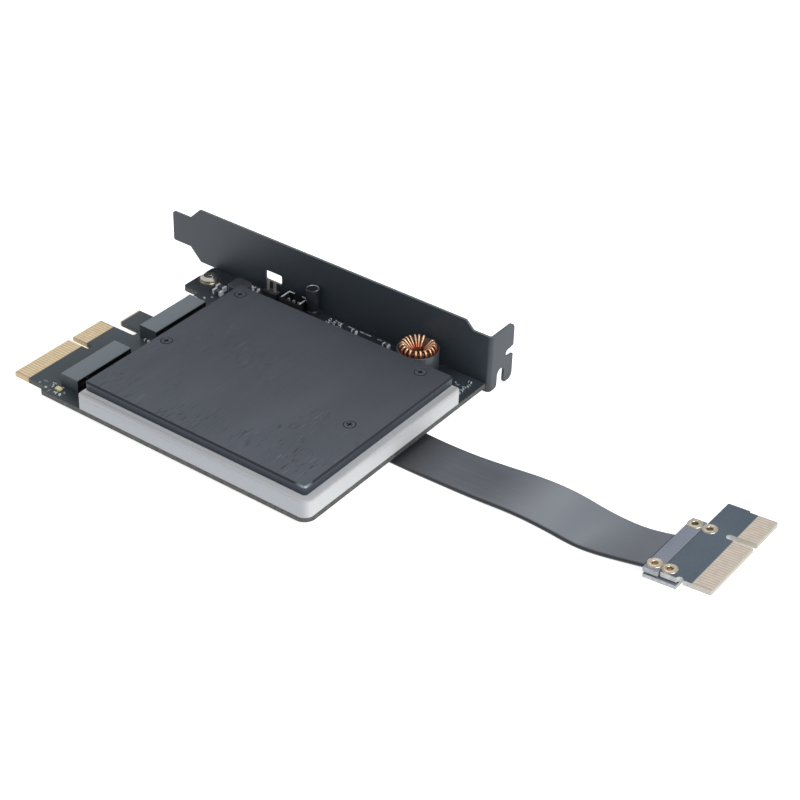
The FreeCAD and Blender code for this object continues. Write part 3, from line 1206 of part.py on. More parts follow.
# ---------------------------------------------------------------------------------------------
# Build, check and write
# ---------------------------------------------------------------------------------------------
main_board()
edge_contacts("edge_contacts", 1)
bracket()
bracket_screws()
heatsink_plate()
plate_screws()
plate_posts()
light_guide()
edge_lights()
thermal_pads()
drive_socket("drive_socket_far", "socket_one_x")
drive_socket("drive_socket_near", "-socket_two_x")
socket_leads("socket_leads_far", "socket_one_x")
socket_leads("socket_leads_near", "-socket_two_x")
standoffs()
drive_screws()
choke_case()
choke_core()
choke_winding()
can_capacitor()
light_connector()
pin_header()
shielded_coil()
regulator()
small_parts()
status_light()
solder_joints()
cable_fittings()
end_board()
place_on_end(edge_contacts("end_contacts", -1))
flat_cable()
doc.recompute()

for thing in doc.Objects:
    if {"Invalid", "Error"} & set(thing.State):
        sys.exit(f"{thing.Name} failed: {thing.State}")
os.makedirs("parts", exist_ok=True)
for thing in SUB_PARTS:
    if thing.Shape.isNull() or not thing.Shape.isValid() or not thing.Shape.Solids:
        sys.exit(f"{thing.Label} has no valid solid")
    thing.Shape.exportStep(f"parts/{thing.Label}.step")
print(f"{len(SUB_PARTS)} sub-parts written")
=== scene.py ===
# %% [markdown]
# # An adapter card for plug-in drives
# The real object is a circuit board that lies on its solder side. It carries a folded steel bracket, a
# brushed heatsink plate on a white light-guiding frame, two sockets for drives, a copper choke and small
# parts. A flat cable leaves from under the board and ends in a small edge board. The solid model gives
# every piece its place and size, so it is loaded first and nothing in it is moved. This script gives the
# solids their finishes and replaces those that need a finer shape than a solid model has.

# %% Load the frame
import json
import math

import bmesh
import bpy
from mathutils import Matrix, Vector


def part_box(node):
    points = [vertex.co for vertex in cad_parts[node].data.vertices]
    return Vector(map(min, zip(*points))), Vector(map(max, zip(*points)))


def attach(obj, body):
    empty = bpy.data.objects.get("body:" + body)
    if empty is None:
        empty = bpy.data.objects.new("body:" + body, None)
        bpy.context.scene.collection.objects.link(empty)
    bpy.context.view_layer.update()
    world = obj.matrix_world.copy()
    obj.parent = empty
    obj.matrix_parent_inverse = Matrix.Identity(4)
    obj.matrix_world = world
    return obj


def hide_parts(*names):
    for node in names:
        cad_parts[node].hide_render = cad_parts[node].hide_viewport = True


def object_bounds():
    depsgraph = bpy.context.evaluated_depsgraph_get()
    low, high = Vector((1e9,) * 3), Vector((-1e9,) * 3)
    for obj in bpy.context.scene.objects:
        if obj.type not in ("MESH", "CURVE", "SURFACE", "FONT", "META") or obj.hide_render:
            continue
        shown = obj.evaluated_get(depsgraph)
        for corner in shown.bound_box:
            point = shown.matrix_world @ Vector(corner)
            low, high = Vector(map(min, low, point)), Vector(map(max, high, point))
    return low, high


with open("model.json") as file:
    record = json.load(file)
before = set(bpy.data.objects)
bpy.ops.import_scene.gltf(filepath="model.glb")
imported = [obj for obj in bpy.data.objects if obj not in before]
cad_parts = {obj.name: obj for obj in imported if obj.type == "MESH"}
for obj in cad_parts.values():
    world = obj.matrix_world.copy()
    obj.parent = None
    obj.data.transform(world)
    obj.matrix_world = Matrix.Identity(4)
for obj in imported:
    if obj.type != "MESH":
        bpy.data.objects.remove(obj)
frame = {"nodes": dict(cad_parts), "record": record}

nodes = frame["nodes"]
cad_bounds = [list(corner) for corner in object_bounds()]
MM = 0.001
print("loaded", len(nodes), "solids from", cad_bounds[0], "to", cad_bounds[1])

# %% [markdown]
# ## The camera
# It stands in front of the card's far corner and looks down at it with a long lens, so that the edges
# stay nearly parallel. It could be placed by its own coordinates, but a point to look at, two angles, a
# distance and a slight roll are easier to read and to change.

# %% Camera
def put_in_scene(name, data):
    """New object in the scene, made from its data."""
    item = bpy.data.objects.new(name, data)
    bpy.context.scene.collection.objects.link(item)
    return item


LOOK_AT = Vector((-34.82, 94.26, 0.0)) * MM
LOOK_AZIMUTH = math.radians(125.46)
LOOK_ELEVATION = math.radians(34.61)
LOOK_DISTANCE = 561.4 * MM
LOOK_ROLL = math.radians(1.91)
LENS = 89.7
SENSOR_WIDE = 36.0

camera = put_in_scene("camera", bpy.data.cameras.new("camera"))
bpy.context.scene.camera = camera
back = Vector((
    math.sin(LOOK_AZIMUTH) * math.cos(LOOK_ELEVATION),
    -math.cos(LOOK_AZIMUTH) * math.cos(LOOK_ELEVATION),
    math.sin(LOOK_ELEVATION)))
turn = back.to_track_quat("Z", "Y").to_matrix() @ Matrix.Rotation(LOOK_ROLL, 3, "Z")
camera.matrix_world = Matrix.Translation(LOOK_AT + back * LOOK_DISTANCE) @ turn.to_4x4()
camera.data.lens = LENS
camera.data.sensor_width = SENSOR_WIDE
camera.data.clip_start = 10.0 * MM
print("camera at", [round(value, 4) for value in camera.matrix_world.translation])

# %% [markdown]
# ## The flat cable
# The real cable is a flat strip of bonded conductors in a smooth tape. It is limp, so it follows the
# table in shallow waves and twists a little on the way. A strip of faces would do for one view, but a
# curve with a flat profile stays a cable that can be laid anew: its points are the route, the profile
# carries the shallow ridges, and the tilt of each point gives the twist.
#
# A curve's box grows by its points' radius, so the points have a small radius and the profile is drawn
# larger by the same factor.

# %% Size and route of the cable
POINT_RADIUS = 0.0001
CABLE_WIDE = 17.0 * MM
CABLE_THICK = 0.9 * MM
CABLE_START_X = -0.0207
CABLE_END_X = -0.02196
# distance along Y, level, and how much the bracket's side stands above the other side, all in metres
CABLE_ROUTE = [
    (0.0827, -0.00262, 0.0), (0.0926, -0.0026, 0.0), (0.1026, -0.00268, 0.0), (0.1125, -0.00292, -0.0002),
    (0.1240, -0.00274, -0.0001), (0.1355, -0.00205, 0.0007), (0.1465, -0.0012, 0.0014),
    (0.1565, -0.00135, 0.0019), (0.1655, -0.00232, 0.0015), (0.1713, -0.00238, 0.0005),
    (0.1770, -0.00187, -0.0004), (0.1820, -0.00098, -0.0007), (0.18616, -0.00003, -0.0006)]
print("route runs from Y", CABLE_ROUTE[0][0], "to", CABLE_ROUTE[-1][0])

# %% Profile of the cable
RIDGES = 24
RIDGE_DEPTH = 0.04 * MM
END_ROUND = 0.7


def cable_profile():
    """Closed flat outline with shallow ridges above and below."""
    half_wide, half_thick = CABLE_WIDE / 2, CABLE_THICK / 2
    pitch = (CABLE_WIDE - CABLE_THICK) / RIDGES
    upper = []
    for ridge in range(RIDGES):
        left = -half_wide + half_thick + ridge * pitch
        upper += [(left, half_thick - RIDGE_DEPTH), (left + pitch / 2, half_thick)]
    upper.append((half_wide - half_thick, half_thick - RIDGE_DEPTH))
    shoulder = (half_wide - half_thick * (1 - END_ROUND), half_thick * END_ROUND)
    right_end = [shoulder, (half_wide, 0.0), (shoulder[0], -shoulder[1])]
    lower = [(x, -y) for x, y in reversed(upper)]
    left_end = [(-x, y) for x, y in reversed(right_end)]
    outline = upper + right_end + lower + left_end
    curve = bpy.data.curves.new("cable_profile", "CURVE")
    curve.dimensions = "2D"
    spline = curve.splines.new("POLY")
    spline.points.add(len(outline) - 1)
    for point, (x, y) in zip(spline.points, outline):
        point.co = (x / POINT_RADIUS, y / POINT_RADIUS, 0.0, 1.0)
    spline.use_cyclic_u = True
    return put_in_scene("cable_profile", curve)


cable_shape = cable_profile()
print("profile with", len(cable_shape.data.splines[0].points), "points")


# %% Sweep of the cable
def control_values(wanted):
    """Values at the curve's control points that make the smooth curve pass through the wanted ones."""
    control = list(wanted)
    for _ in range(3):
        drawn = [(before + 6 * value + after) / 8
                 for before, value, after in zip(control, control[1:], control[2:])]
        drawn = [wanted[0], *drawn, wanted[-1]]
        control = [value + goal - got for value, goal, got in zip(control, wanted, drawn)]
    return control


def make_cable(profile):
    """The cable as one open spline, swept with the profile."""
    curve = bpy.data.curves.new("ribbon_cable", "CURVE")
    curve.dimensions = "3D"
    curve.twist_mode = "Z_UP"
    curve.resolution_u = 12
    spline = curve.splines.new("NURBS")
    spline.points.add(len(CABLE_ROUTE) - 1)
    start, end = CABLE_ROUTE[0][0], CABLE_ROUTE[-1][0]
    levels = control_values([level for along, level, lift in CABLE_ROUTE])
    lifts = control_values([lift for along, level, lift in CABLE_ROUTE])
    for point, (along, _, _), level, lift in zip(spline.points, CABLE_ROUTE, levels, lifts):
        share = (along - start) / (end - start)
        point.co = (CABLE_START_X + (CABLE_END_X - CABLE_START_X) * share, along, level, 1.0)
        point.tilt = math.asin(lift / CABLE_WIDE)
    spline.points.foreach_set("radius", [POINT_RADIUS] * len(spline.points))
    spline.order_u = 3
    spline.use_endpoint_u = True
    curve.bevel_mode = "OBJECT"
    curve.bevel_object = profile
    curve.use_fill_caps = True
    return put_in_scene("ribbon_cable", curve)


cable = make_cable(cable_shape)
print("cable over", len(CABLE_ROUTE), "route points")

# %% Say what the cable is
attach(cable, "root")
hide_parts("flat_cable")
print("the cable stands for flat_cable")

# %% [markdown]
# ## Tools for finishes
# Every finish is a Principled shader fed by a few nodes that read Object coordinates, so a pattern stays
# on its piece. Nodes can be placed by hand in the editor, but small functions that add a node and link it
# keep a long list of finishes short and alike. A colour here is written with the numbers of a colour
# chart, 0 to 255, and turned into the linear values that Blender works with.

# %% Colours, nodes and links
def chart(red, green, blue):
    """Linear colour from the 0 to 255 numbers of a colour chart."""
    linear = [value / 255 / 12.92 if value <= 10 else ((value / 255 + 0.055) / 1.055) ** 2.4
              for value in (red, green, blue)]
    return (*linear, 1.0)


def add_node(tree, kind, **settings):
    """New node with its settings made."""
    node = tree.nodes.new(kind)
    for name, value in settings.items():
        setattr(node, name, value)
    return node


def plug(tree, socket, value):
    """Link a value that is a socket, or set the number or colour that it is."""
    if isinstance(value, bpy.types.NodeSocket):
        tree.links.new(value, socket)
    else:
        socket.default_value = value


def feed(tree, node, **values):
    """Plug values into a node's inputs by name, with underscores for blanks."""
    for name, value in values.items():
        plug(tree, node.inputs[name.replace("_", " ")], value)
    return node


print("middle grey is", round(chart(128, 128, 128)[0], 3))

# %% Noise, ranges, mixes and sums
# nearly all values of a noise lie in this span
NOISE_SPAN = (0.3, 0.7)


def plain_noise(tree, vector, scale, detail):
    """Noise of one scale in all directions."""
    return feed(tree, add_node(tree, "ShaderNodeTexNoise"), Vector=vector, Scale=scale,
                Detail=detail).outputs["Fac"]


def stretched_noise(tree, vector, stretch, detail):
    """Noise over coordinates that are multiplied by a stretch in each direction."""
    mapping = feed(tree, add_node(tree, "ShaderNodeMapping"), Vector=vector, Scale=stretch)
    return plain_noise(tree, mapping.outputs["Vector"], 1.0, detail)


def ramp(tree, value, low, high, to_low=0.0, to_high=1.0):
    """Value brought from one range into another, and clamped."""
    return feed(tree, add_node(tree, "ShaderNodeMapRange"), Value=value, From_Min=low, From_Max=high,
                To_Min=to_low, To_Max=to_high).outputs["Result"]


def mixed(tree, factor, first, second):
    """Two colours mixed by a factor."""
    node = add_node(tree, "ShaderNodeMix", data_type="RGBA")
    # a mix node has sockets of the same names for each data type, so these go by their number
    for number, value in {0: factor, 6: first, 7: second}.items():
        plug(tree, node.inputs[number], value)
    return node.outputs[2]


def calc(tree, operation, first, second):
    """One sum of two values."""
    node = add_node(tree, "ShaderNodeMath", operation=operation)
    plug(tree, node.inputs[0], first)
    plug(tree, node.inputs[1], second)
    return node.outputs[0]


def blend_of(tree, first, second, share):
    """Two values added, the first with its share and the second with the rest."""
    rest = calc(tree, "MULTIPLY", second, 1 - share)
    return calc(tree, "ADD", calc(tree, "MULTIPLY", first, share), rest)


print("tools for nodes ready")

# %% [markdown]
# ## Shared effects
# Powder coat, moulded plastic and solder mask are never one flat colour: they drift slightly in tone and
# carry a fine grain. Brushed metal has long fine lines and a few short scratches. Both effects could be
# built again in each material, but as node groups they are built once and take each material's own
# values.

# %% Start a node group
SOCKET_KINDS = {"Vector": "NodeSocketVector", "Dark": "NodeSocketColor", "Light": "NodeSocketColor",
                "Color": "NodeSocketColor"}


def new_group(name, inputs, outputs):
    """Empty node group with its sockets; gives the tree, its input sockets and its output node."""
    tree = bpy.data.node_groups.new(name, "ShaderNodeTree")
    for way, labels in (("INPUT", inputs), ("OUTPUT", outputs)):
        for label in labels:
            kind = SOCKET_KINDS.get(label, "NodeSocketFloat")
            tree.interface.new_socket(label, in_out=way, socket_type=kind)
    return tree, tree.nodes.new("NodeGroupInput").outputs, tree.nodes.new("NodeGroupOutput")


print("sockets of their own kind:", *SOCKET_KINDS)

# %% Group: drifting tone and fine grain
# the patches' share of the tone, and the values between which the tone goes from dark to light
PATCH_SHARE = 0.65
TONE_SPAN = (0.36, 0.64)


def make_grain_group():
    """Tone that drifts between two colours, with a fine height."""
    tree, given, out = new_group("drift_and_grain", ("Vector", "Dark", "Light", "Patch", "Grain"),
                                 ("Color", "Height"))
    patch = plain_noise(tree, given["Vector"], given["Patch"], 4.0)
    fine = plain_noise(tree, given["Vector"], given["Grain"], 2.0)
    tone = ramp(tree, blend_of(tree, patch, fine, PATCH_SHARE), *TONE_SPAN)
    feed(tree, out, Color=mixed(tree, tone, given["Dark"], given["Light"]), Height=fine)
    return tree


grain_group = make_grain_group()
print("group", grain_group.name, "with", len(grain_group.nodes), "nodes")

# %% Group: brushed lines and short scratches along X
# how often each pattern repeats in a metre along X, Y and Z
BRUSH_LINES = (60.0, 2600.0, 900.0)
BRUSH_DRIFT = (18.0, 60.0, 60.0)
BRIGHT_SCRATCHES = (170.0, 2200.0, 300.0)
DARK_GROOVES = (330.0, 1700.0, 310.0)
SCRATCHED_PLACES = (55.0, 55.0, 55.0)
# the values between which a bright scratch, a dark groove and a scratched place come up in the noise
SCRATCH_SPAN = (0.68, 0.76)
GROOVE_SPAN = (0.61, 0.69)
PLACE_SPAN = (0.44, 0.62)
SCRATCH_SHINE = chart(140, 146, 156)
GROOVE_SHADE = chart(42, 45, 51)
GROOVE_GAIN = 1.8


def make_brush_group():
    """Fine lines along X with short scratches and grooves, whose strength is the input Scratches."""
    tree, given, out = new_group("brushed_along_x", ("Vector", "Dark", "Light", "Scratches"),
                                 ("Color", "Height", "Gloss"))
    where = given["Vector"]
    lines = stretched_noise(tree, where, BRUSH_LINES, 4.0)
    drift = stretched_noise(tree, where, BRUSH_DRIFT, 2.0)
    bright = stretched_noise(tree, where, BRIGHT_SCRATCHES, 1.0)
    dark = stretched_noise(tree, where, DARK_GROOVES, 1.0)
    place = ramp(tree, stretched_noise(tree, where, SCRATCHED_PLACES, 2.0), *PLACE_SPAN)
    scratch = calc(tree, "MULTIPLY", ramp(tree, bright, *SCRATCH_SPAN), place)
    groove = calc(tree, "MULTIPLY", ramp(tree, dark, *GROOVE_SPAN), place)
    tone = blend_of(tree, ramp(tree, lines, *NOISE_SPAN), ramp(tree, drift, *NOISE_SPAN), 0.5)
    colour = mixed(tree, tone, given["Dark"], given["Light"])
    colour = mixed(tree, calc(tree, "MULTIPLY", scratch, given["Scratches"]), colour, SCRATCH_SHINE)
    deep = calc(tree, "MINIMUM", calc(tree, "MULTIPLY", given["Scratches"], GROOVE_GAIN), 1.0)
    colour = mixed(tree, calc(tree, "MULTIPLY", groove, deep), colour, GROOVE_SHADE)
    cuts = calc(tree, "MULTIPLY", calc(tree, "ADD", scratch, groove), 0.5)
    feed(tree, out, Color=colour, Height=calc(tree, "SUBTRACT", lines, cuts), Gloss=lines)
    return tree


brush_group = make_brush_group()
print("group", brush_group.name, "with", len(brush_group.nodes), "nodes")

# %% [markdown]
# ## A finish and its shader
# A finish starts as a Principled shader whose plain numbers are set on its own sockets. What varies over
# the surface is then fed in: colour, roughness and a bump. Painted shade, wear and painted highlights are
# masks: each is a value between 0 and 1 that says where another colour lies over the first. A mask could
# be painted on the mesh, but one worked out from a place or from the way a face looks needs no painting
# and fits any mesh.

# %% Start a finish
class Finish:
    """A material that is being made, with its tree, shader, coordinates and colour so far."""

    def __init__(self, name, roughness, metallic=0.0, **numbers):
        self.material = bpy.data.materials.new(name)
        self.material.use_nodes = True
        self.tree = self.material.node_tree
        self.shader = self.tree.nodes["Principled BSDF"]
        feed(self.tree, self.shader, Roughness=roughness, Metallic=metallic, **numbers)
        self.coords = add_node(self.tree, "ShaderNodeTexCoord")
        self.place = self.coords.outputs["Object"]

    def effect(self, group, **values):
        """The outputs of a shared effect on this finish's coordinates."""
        node = add_node(self.tree, "ShaderNodeGroup", node_tree=group)
        return feed(self.tree, node, Vector=self.place, **values).outputs

    def paint(self, colour):
        """A colour all over."""
        self.colour = colour
        feed(self.tree, self.shader, Base_Color=colour)

    def tint(self, mask, colour):
        """Another colour over the one so far, where a mask holds."""
        self.paint(mixed(self.tree, mask, self.colour, colour))

    def dull(self, value):
        """A roughness that varies."""
        feed(self.tree, self.shader, Roughness=value)

    def relief(self, height, depth, strength):
        """Bump from a height; depth in millimetres."""
        bump = feed(self.tree, add_node(self.tree, "ShaderNodeBump"), Height=height, Distance=depth * MM,
                    Strength=strength)
        feed(self.tree, self.shader, Normal=bump.outputs["Normal"])

    def part(self, vector, letter):
        """One part, X, Y or Z, of a vector."""
        return feed(self.tree, add_node(self.tree, "ShaderNodeSeparateXYZ"), Vector=vector).outputs[letter]

    def along(self, letter, none_at, full_at, least=0.0, most=1.0):
        """A mask that grows along an axis between two places in millimetres."""
        return ramp(self.tree, self.part(self.place, letter), none_at * MM, full_at * MM, least, most)

    def looking(self, letter, none_at, full_at):
        """A mask that grows as faces turn towards an axis, between two shares of their direction."""
        return ramp(self.tree, self.part(self.coords.outputs["Normal"], letter), none_at, full_at)

    def looking_up(self):
        """1 on faces that point up, 0 on the others."""
        return self.looking("Z", none_at=0.55, full_at=0.75)

    def both(self, first, second):
        """A mask that holds where two masks hold."""
        return calc(self.tree, "MULTIPLY", first, second)

    def between(self, letter, low, high, soft):
        """1 between two places on an axis in millimetres, 0 outside, with soft borders."""
        return self.both(self.along(letter, low - soft, low), self.along(letter, high + soft, high))

    def tell(self):
        """Print the finish's name and the size of its tree."""
        print(self.material.name, "with", len(self.tree.nodes), "nodes")


print("finishes read Object coordinates")

# %% A coat or plastic with a grain
ROUGHNESS_DRIFT = 0.05


def grained(name, dark, light, roughness, patch=60.0, grain=2500.0, depth=0.02, strength=0.3, **numbers):
    """A finish with a drifting tone between two chart colours and a fine grain."""
    finish = Finish(name, roughness, **numbers)
    look = finish.effect(grain_group, Dark=chart(*dark), Light=chart(*light), Patch=patch, Grain=grain)
    finish.paint(look["Color"])
    finish.dull(ramp(finish.tree, look["Height"], *NOISE_SPAN, roughness - ROUGHNESS_DRIFT,
                     roughness + ROUGHNESS_DRIFT))
    finish.relief(look["Height"], depth, strength)
    return finish


print("grained finishes ready")

# %% [markdown]
# ## Bracket coat
# The bracket is bent from steel sheet and then powder-coated, which leaves a matt skin with a fine grain.
# A plain grey would do from afar. Here the coat is lighter on edges that look up, which is a painted
# highlight, and a little darker below the board, which is painted shade.

# %% Powder coat
bracket_coat = grained("bracket_powder_coat", (40, 47, 54), (50, 58, 65), 0.5, patch=30.0, grain=3200.0)
# painted shade towards the bracket's foot, below the board
bracket_coat.tint(bracket_coat.along("Z", none_at=3.0, full_at=-3.0, most=0.6), chart(22, 24, 26))
# painted highlight on edges and faces that look up
bracket_coat.tint(bracket_coat.looking_up(), chart(92, 98, 100))
bracket_coat.tell()

# %% [markdown]
# ## Moulded blacks
# The drive sockets are black plastic whose grey top is a painted highlight, and their mouths are deep
# slots that hardly any light leaves. A lamp alone would light the slot's floor as it lights the top, so
# both are told apart by their level: faces that look towards +Y and faces that look up get painted shade,
# and the top above the slots then gets the painted highlight. The cup of the choke, the coil and the
# chips are plainer blacks.

# %% Socket plastic
MOUTH_SHADE = chart(12, 13, 15)
socket_plastic = grained("socket_plastic", (54, 62, 66), (64, 72, 77), 0.42, patch=90.0, grain=2400.0)
# painted shade on faces that look towards +Y
socket_plastic.tint(socket_plastic.looking("Y", none_at=0.4, full_at=0.8), MOUTH_SHADE)
upper_faces = socket_plastic.looking_up()
# painted shade on every face that looks up, the slot floors among them
socket_plastic.tint(upper_faces, MOUTH_SHADE)
# painted highlight on the top of the sockets
socket_top_highlight = socket_plastic.both(upper_faces, socket_plastic.along("Z", none_at=3.6, full_at=4.0))
socket_plastic.tint(socket_top_highlight, chart(106, 114, 119))
socket_plastic.tell()

# %% Cup, core, coil, chips and pads
case_plastic = grained("case_plastic", (60, 67, 70), (74, 81, 84), 0.3, patch=120.0, grain=1500.0,
                       depth=0.005, strength=0.15)
# the core's reddish brown is a painted reflection of the copper turns in its hole
core_ferrite = grained("core_ferrite", (66, 38, 30), (92, 56, 44), 0.5, patch=300.0, grain=4000.0)
coil_block = grained("coil_block", (48, 50, 56), (60, 62, 68), 0.4, patch=200.0, grain=2800.0)
chip_epoxy = grained("chip_epoxy", (26, 28, 31), (36, 38, 41), 0.45, patch=200.0, grain=4000.0)
pad_rubber = grained("pad_rubber", (120, 124, 130), (140, 144, 150), 0.7, patch=80.0, grain=1500.0)
print("plain finishes ready")

# %% Shell of the lamp connector, with a painted highlight along the rim on its far side
connector_shell = grained("connector_shell", (26, 28, 31), (34, 36, 40), 0.35, patch=200.0, grain=4000.0)
# painted highlight: a pale line along the top of the far rim
connector_rim_highlight = connector_shell.both(connector_shell.between("Z", 3.92, 4.2, soft=0.04),
                               connector_shell.along("X", none_at=-51.4, full_at=-51.8))
connector_shell.tint(connector_rim_highlight, chart(196, 200, 204))
connector_shell.tell()

# %% [markdown]
# ## The brushed plate
# The heatsink is an aluminium plate, brushed across the card and anodised black. An image of brushed
# metal would repeat and blur close up, so the lines come from noise that is drawn out along X. One mask
# makes the plate more scratched away from the bracket, and lighter there too, which is a painted sheen.
# The sides keep a plain darker colour, which is painted shade. The milled chamfer shows as a dark line,
# which is painted shade, with a painted highlight at the corner that sticks out most.

# %% Plate finish
plate_finish = Finish("brushed_black_plate", roughness=0.42, metallic=0.35)
# painted sheen that grows away from the bracket, together with more scratches
sheen_and_wear = plate_finish.along("X", none_at=-46.0, full_at=24.0)
brushed = plate_finish.effect(
    brush_group, Scratches=ramp(plate_finish.tree, sheen_and_wear, 0.3, 1.0, 0.1, 0.45),
    Dark=mixed(plate_finish.tree, sheen_and_wear, chart(52, 55, 62), chart(74, 78, 86)),
    Light=mixed(plate_finish.tree, sheen_and_wear, chart(66, 69, 77), chart(92, 96, 105)))
# painted shade: faces that do not look up keep this plain darker colour
plate_finish.paint(chart(54, 60, 70))
plate_finish.tint(plate_finish.looking_up(), brushed["Color"])
chamfer = plate_finish.both(plate_finish.looking("Z", none_at=0.3, full_at=0.5),
                            plate_finish.looking("Z", none_at=0.95, full_at=0.85))
corner_highlight = plate_finish.both(plate_finish.along("X", none_at=18.5, full_at=21.0),
                                plate_finish.along("Y", none_at=102.0, full_at=104.5))
# painted shade on the chamfer, and a painted highlight where it meets the near corner
plate_finish.tint(chamfer, mixed(plate_finish.tree, corner_highlight, chart(40, 43, 49), chart(140, 148, 156)))
plate_finish.dull(ramp(plate_finish.tree, brushed["Gloss"], *NOISE_SPAN, to_low=0.38, to_high=0.5))
plate_finish.relief(brushed["Height"], depth=0.04, strength=0.35)
plate_finish.tell()

# %% [markdown]
# ## White plastic and light chips
# The light guide is milky plastic that spreads the light of small lamps inside it. Unlit, it looks like
# frosted white plastic. Scattering under the surface softens its shading, but slows a render down where
# it is strong, so it is weak here, and a faint glow, which is painted light, stands for the light that
# such a wall passes on. The guide is darker on the side that looks away from the bracket, and just below
# the plate; both are painted shade.

# %% Light guide
# its emission is a faint painted glow
guide_plastic = grained("frosted_light_guide", (157, 158, 160), (167, 168, 169), 0.7, patch=40.0,
                        grain=900.0, strength=0.15, Subsurface_Weight=0.2, Subsurface_Scale=2.0 * MM,
                        Emission_Color=chart(202, 203, 203), Emission_Strength=0.26)
# painted shade on the side that looks away from the bracket
guide_plastic.tint(guide_plastic.looking("X", none_at=0.4, full_at=0.9), chart(128, 132, 138))
# painted shade just below the plate
guide_plastic.tint(guide_plastic.along("Z", none_at=4.7, full_at=5.3, most=0.3), chart(110, 114, 122))
guide_plastic.tell()

# %% Chips and small ceramic parts
light_chip = grained("light_chip", (226, 226, 214), (240, 240, 230), 0.4, patch=400.0, grain=4000.0)
amber_light = grained("amber_light", (206, 200, 140), (226, 220, 164), 0.3, patch=500.0, grain=5000.0)
small_ceramic = grained("small_ceramic", (46, 48, 52), (92, 94, 96), 0.4, patch=1400.0, grain=5000.0)
print("chip finishes ready")

# %% [markdown]
# ## Metals
# Tin is dull and cloudy, nickel and brass are rolled smooth, and gold over nickel has a soft shine. A
# fully metallic shader shows only what it mirrors, which here is a white room, so the tin, the gold and
# the copper are only partly metallic and keep some colour of their own.

# %% Plain metals
def metal(name, dark, light, roughness, metallic=1.0, patch=400.0, grain=3000.0, **numbers):
    """A metal with a cloudy tone."""
    return grained(name, dark, light, roughness, patch, grain, depth=0.01, strength=0.25,
                   metallic=metallic, **numbers)


screw_steel = metal("screw_nickel", (190, 184, 176), (236, 232, 226), 0.18)
black_screw = metal("black_screw", (78, 80, 86), (104, 106, 112), 0.35)
post_metal = metal("brass_post", (176, 150, 96), (208, 184, 128), 0.3)
eyelet_metal = metal("eyelet_nickel", (186, 176, 156), (224, 216, 198), 0.3)
eyelet_brass = metal("eyelet_brass", (206, 188, 164), (238, 226, 206), 0.3)
print("plain metals ready")

# %% Tin and gold
# the tin's faint emission is a painted glow
tin = metal("tin_solder", (196, 202, 206), (238, 241, 243), 0.3, 0.4, patch=1400.0,
            Emission_Color=chart(190, 194, 198), Emission_Strength=0.16)
pin_tin = metal("pin_tin", (132, 130, 122), (176, 174, 164), 0.3, 0.4)
gold_ring = metal("gold_ring", (160, 146, 100), (212, 198, 148), 0.3)
contact_gold = metal("contact_gold", (226, 202, 160), (242, 220, 180), 0.42, 0.25, patch=500.0,
                     grain=4000.0)
end_gold = metal("end_contact_gold", (206, 190, 174), (222, 206, 190), 0.42, 0.2, patch=500.0,
                 grain=4000.0)
print("tin and gold finishes ready")

# %% Sleeve of the can, with a painted highlight on the far side of its rolled rim
can_metal = metal("can_sleeve", (28, 31, 37), (36, 39, 46), 0.35, 0.0)
# painted highlight: only the far side of the rim is pale and metallic
can_rim_highlight = can_metal.both(can_metal.between("Z", 9.12, 9.4, soft=0.05),
                            can_metal.along("X", none_at=-53.8, full_at=-55.0))
can_metal.tint(can_rim_highlight, chart(226, 230, 234))
feed(can_metal.tree, can_metal.shader, Metallic=can_rim_highlight)
can_metal.tell()

# %% Enamelled copper, with a painted highlight along the crest of each turn and a faint painted glow
# the reddish emission is a painted glow that lifts the shade between the turns
copper_wire = metal("copper_wire", (140, 74, 50), (178, 108, 76), 0.24, 0.7, patch=900.0,
                    Emission_Color=chart(120, 62, 46), Emission_Strength=0.12)
# painted highlight on high faces that look up
crest_highlight = copper_wire.both(copper_wire.along("Z", none_at=6.8, full_at=8.0),
                         copper_wire.looking("Z", none_at=0.35, full_at=0.85))
copper_wire.tint(crest_highlight, chart(255, 226, 184))
copper_wire.tell()

# %% [markdown]
# ## Circuit boards
# A board is glass fibre with a dark lacquer on both faces, so its cut edges show pale fibre. These could
# be two materials on two sets of faces, but one material that reads which way a face looks needs no faces
# picked. The lacquer sits over copper tracks, which stand out faintly, and at a card edge bare brownish
# fibre shows between the contacts.

# %% Board lacquer and fibre edges
LACQUER_ROUGHNESS = 0.38
FIBRE_ROUGHNESS = 0.75


def board_finish(name, lacquer, fibre, lit=None):
    """Lacquer on the faces, fibre on the edges, faint tracks; each is a dark and a light chart colour."""
    finish = Finish(name, LACQUER_ROUGHNESS)
    faces = finish.effect(grain_group, Dark=chart(*lacquer[0]), Light=chart(*lacquer[1]), Patch=50.0,
                          Grain=1800.0)
    edges = finish.effect(grain_group, Dark=chart(*fibre[0]), Light=chart(*fibre[1]), Patch=700.0,
                          Grain=2600.0)
    finish.paint(faces["Color"])
    # painted light on the lacquer where the given mask holds
    if lit:
        finish.tint(lit(finish), chart(58, 68, 72))
    up = finish.looking_up()
    finish.paint(mixed(finish.tree, up, edges["Color"], finish.colour))
    finish.dull(ramp(finish.tree, up, 0.0, 1.0, FIBRE_ROUGHNESS, LACQUER_ROUGHNESS))
    tracks = feed(finish.tree, add_node(finish.tree, "ShaderNodeTexVoronoi", distance="CHEBYCHEV"),
                  Vector=finish.place, Scale=420.0)
    finish.relief(calc(finish.tree, "ADD", tracks.outputs["Distance"], edges["Height"]),
                  depth=0.03, strength=0.25)
    return finish


GREY_LACQUER = [(112, 117, 130), (132, 137, 150)]
joining_board = board_finish("joining_board", GREY_LACQUER, [(150, 152, 154), (182, 184, 186)])
bar_board = board_finish("end_bar_board", GREY_LACQUER, [(132, 134, 136), (162, 164, 166)])
joining_board.tell()
bar_board.tell()

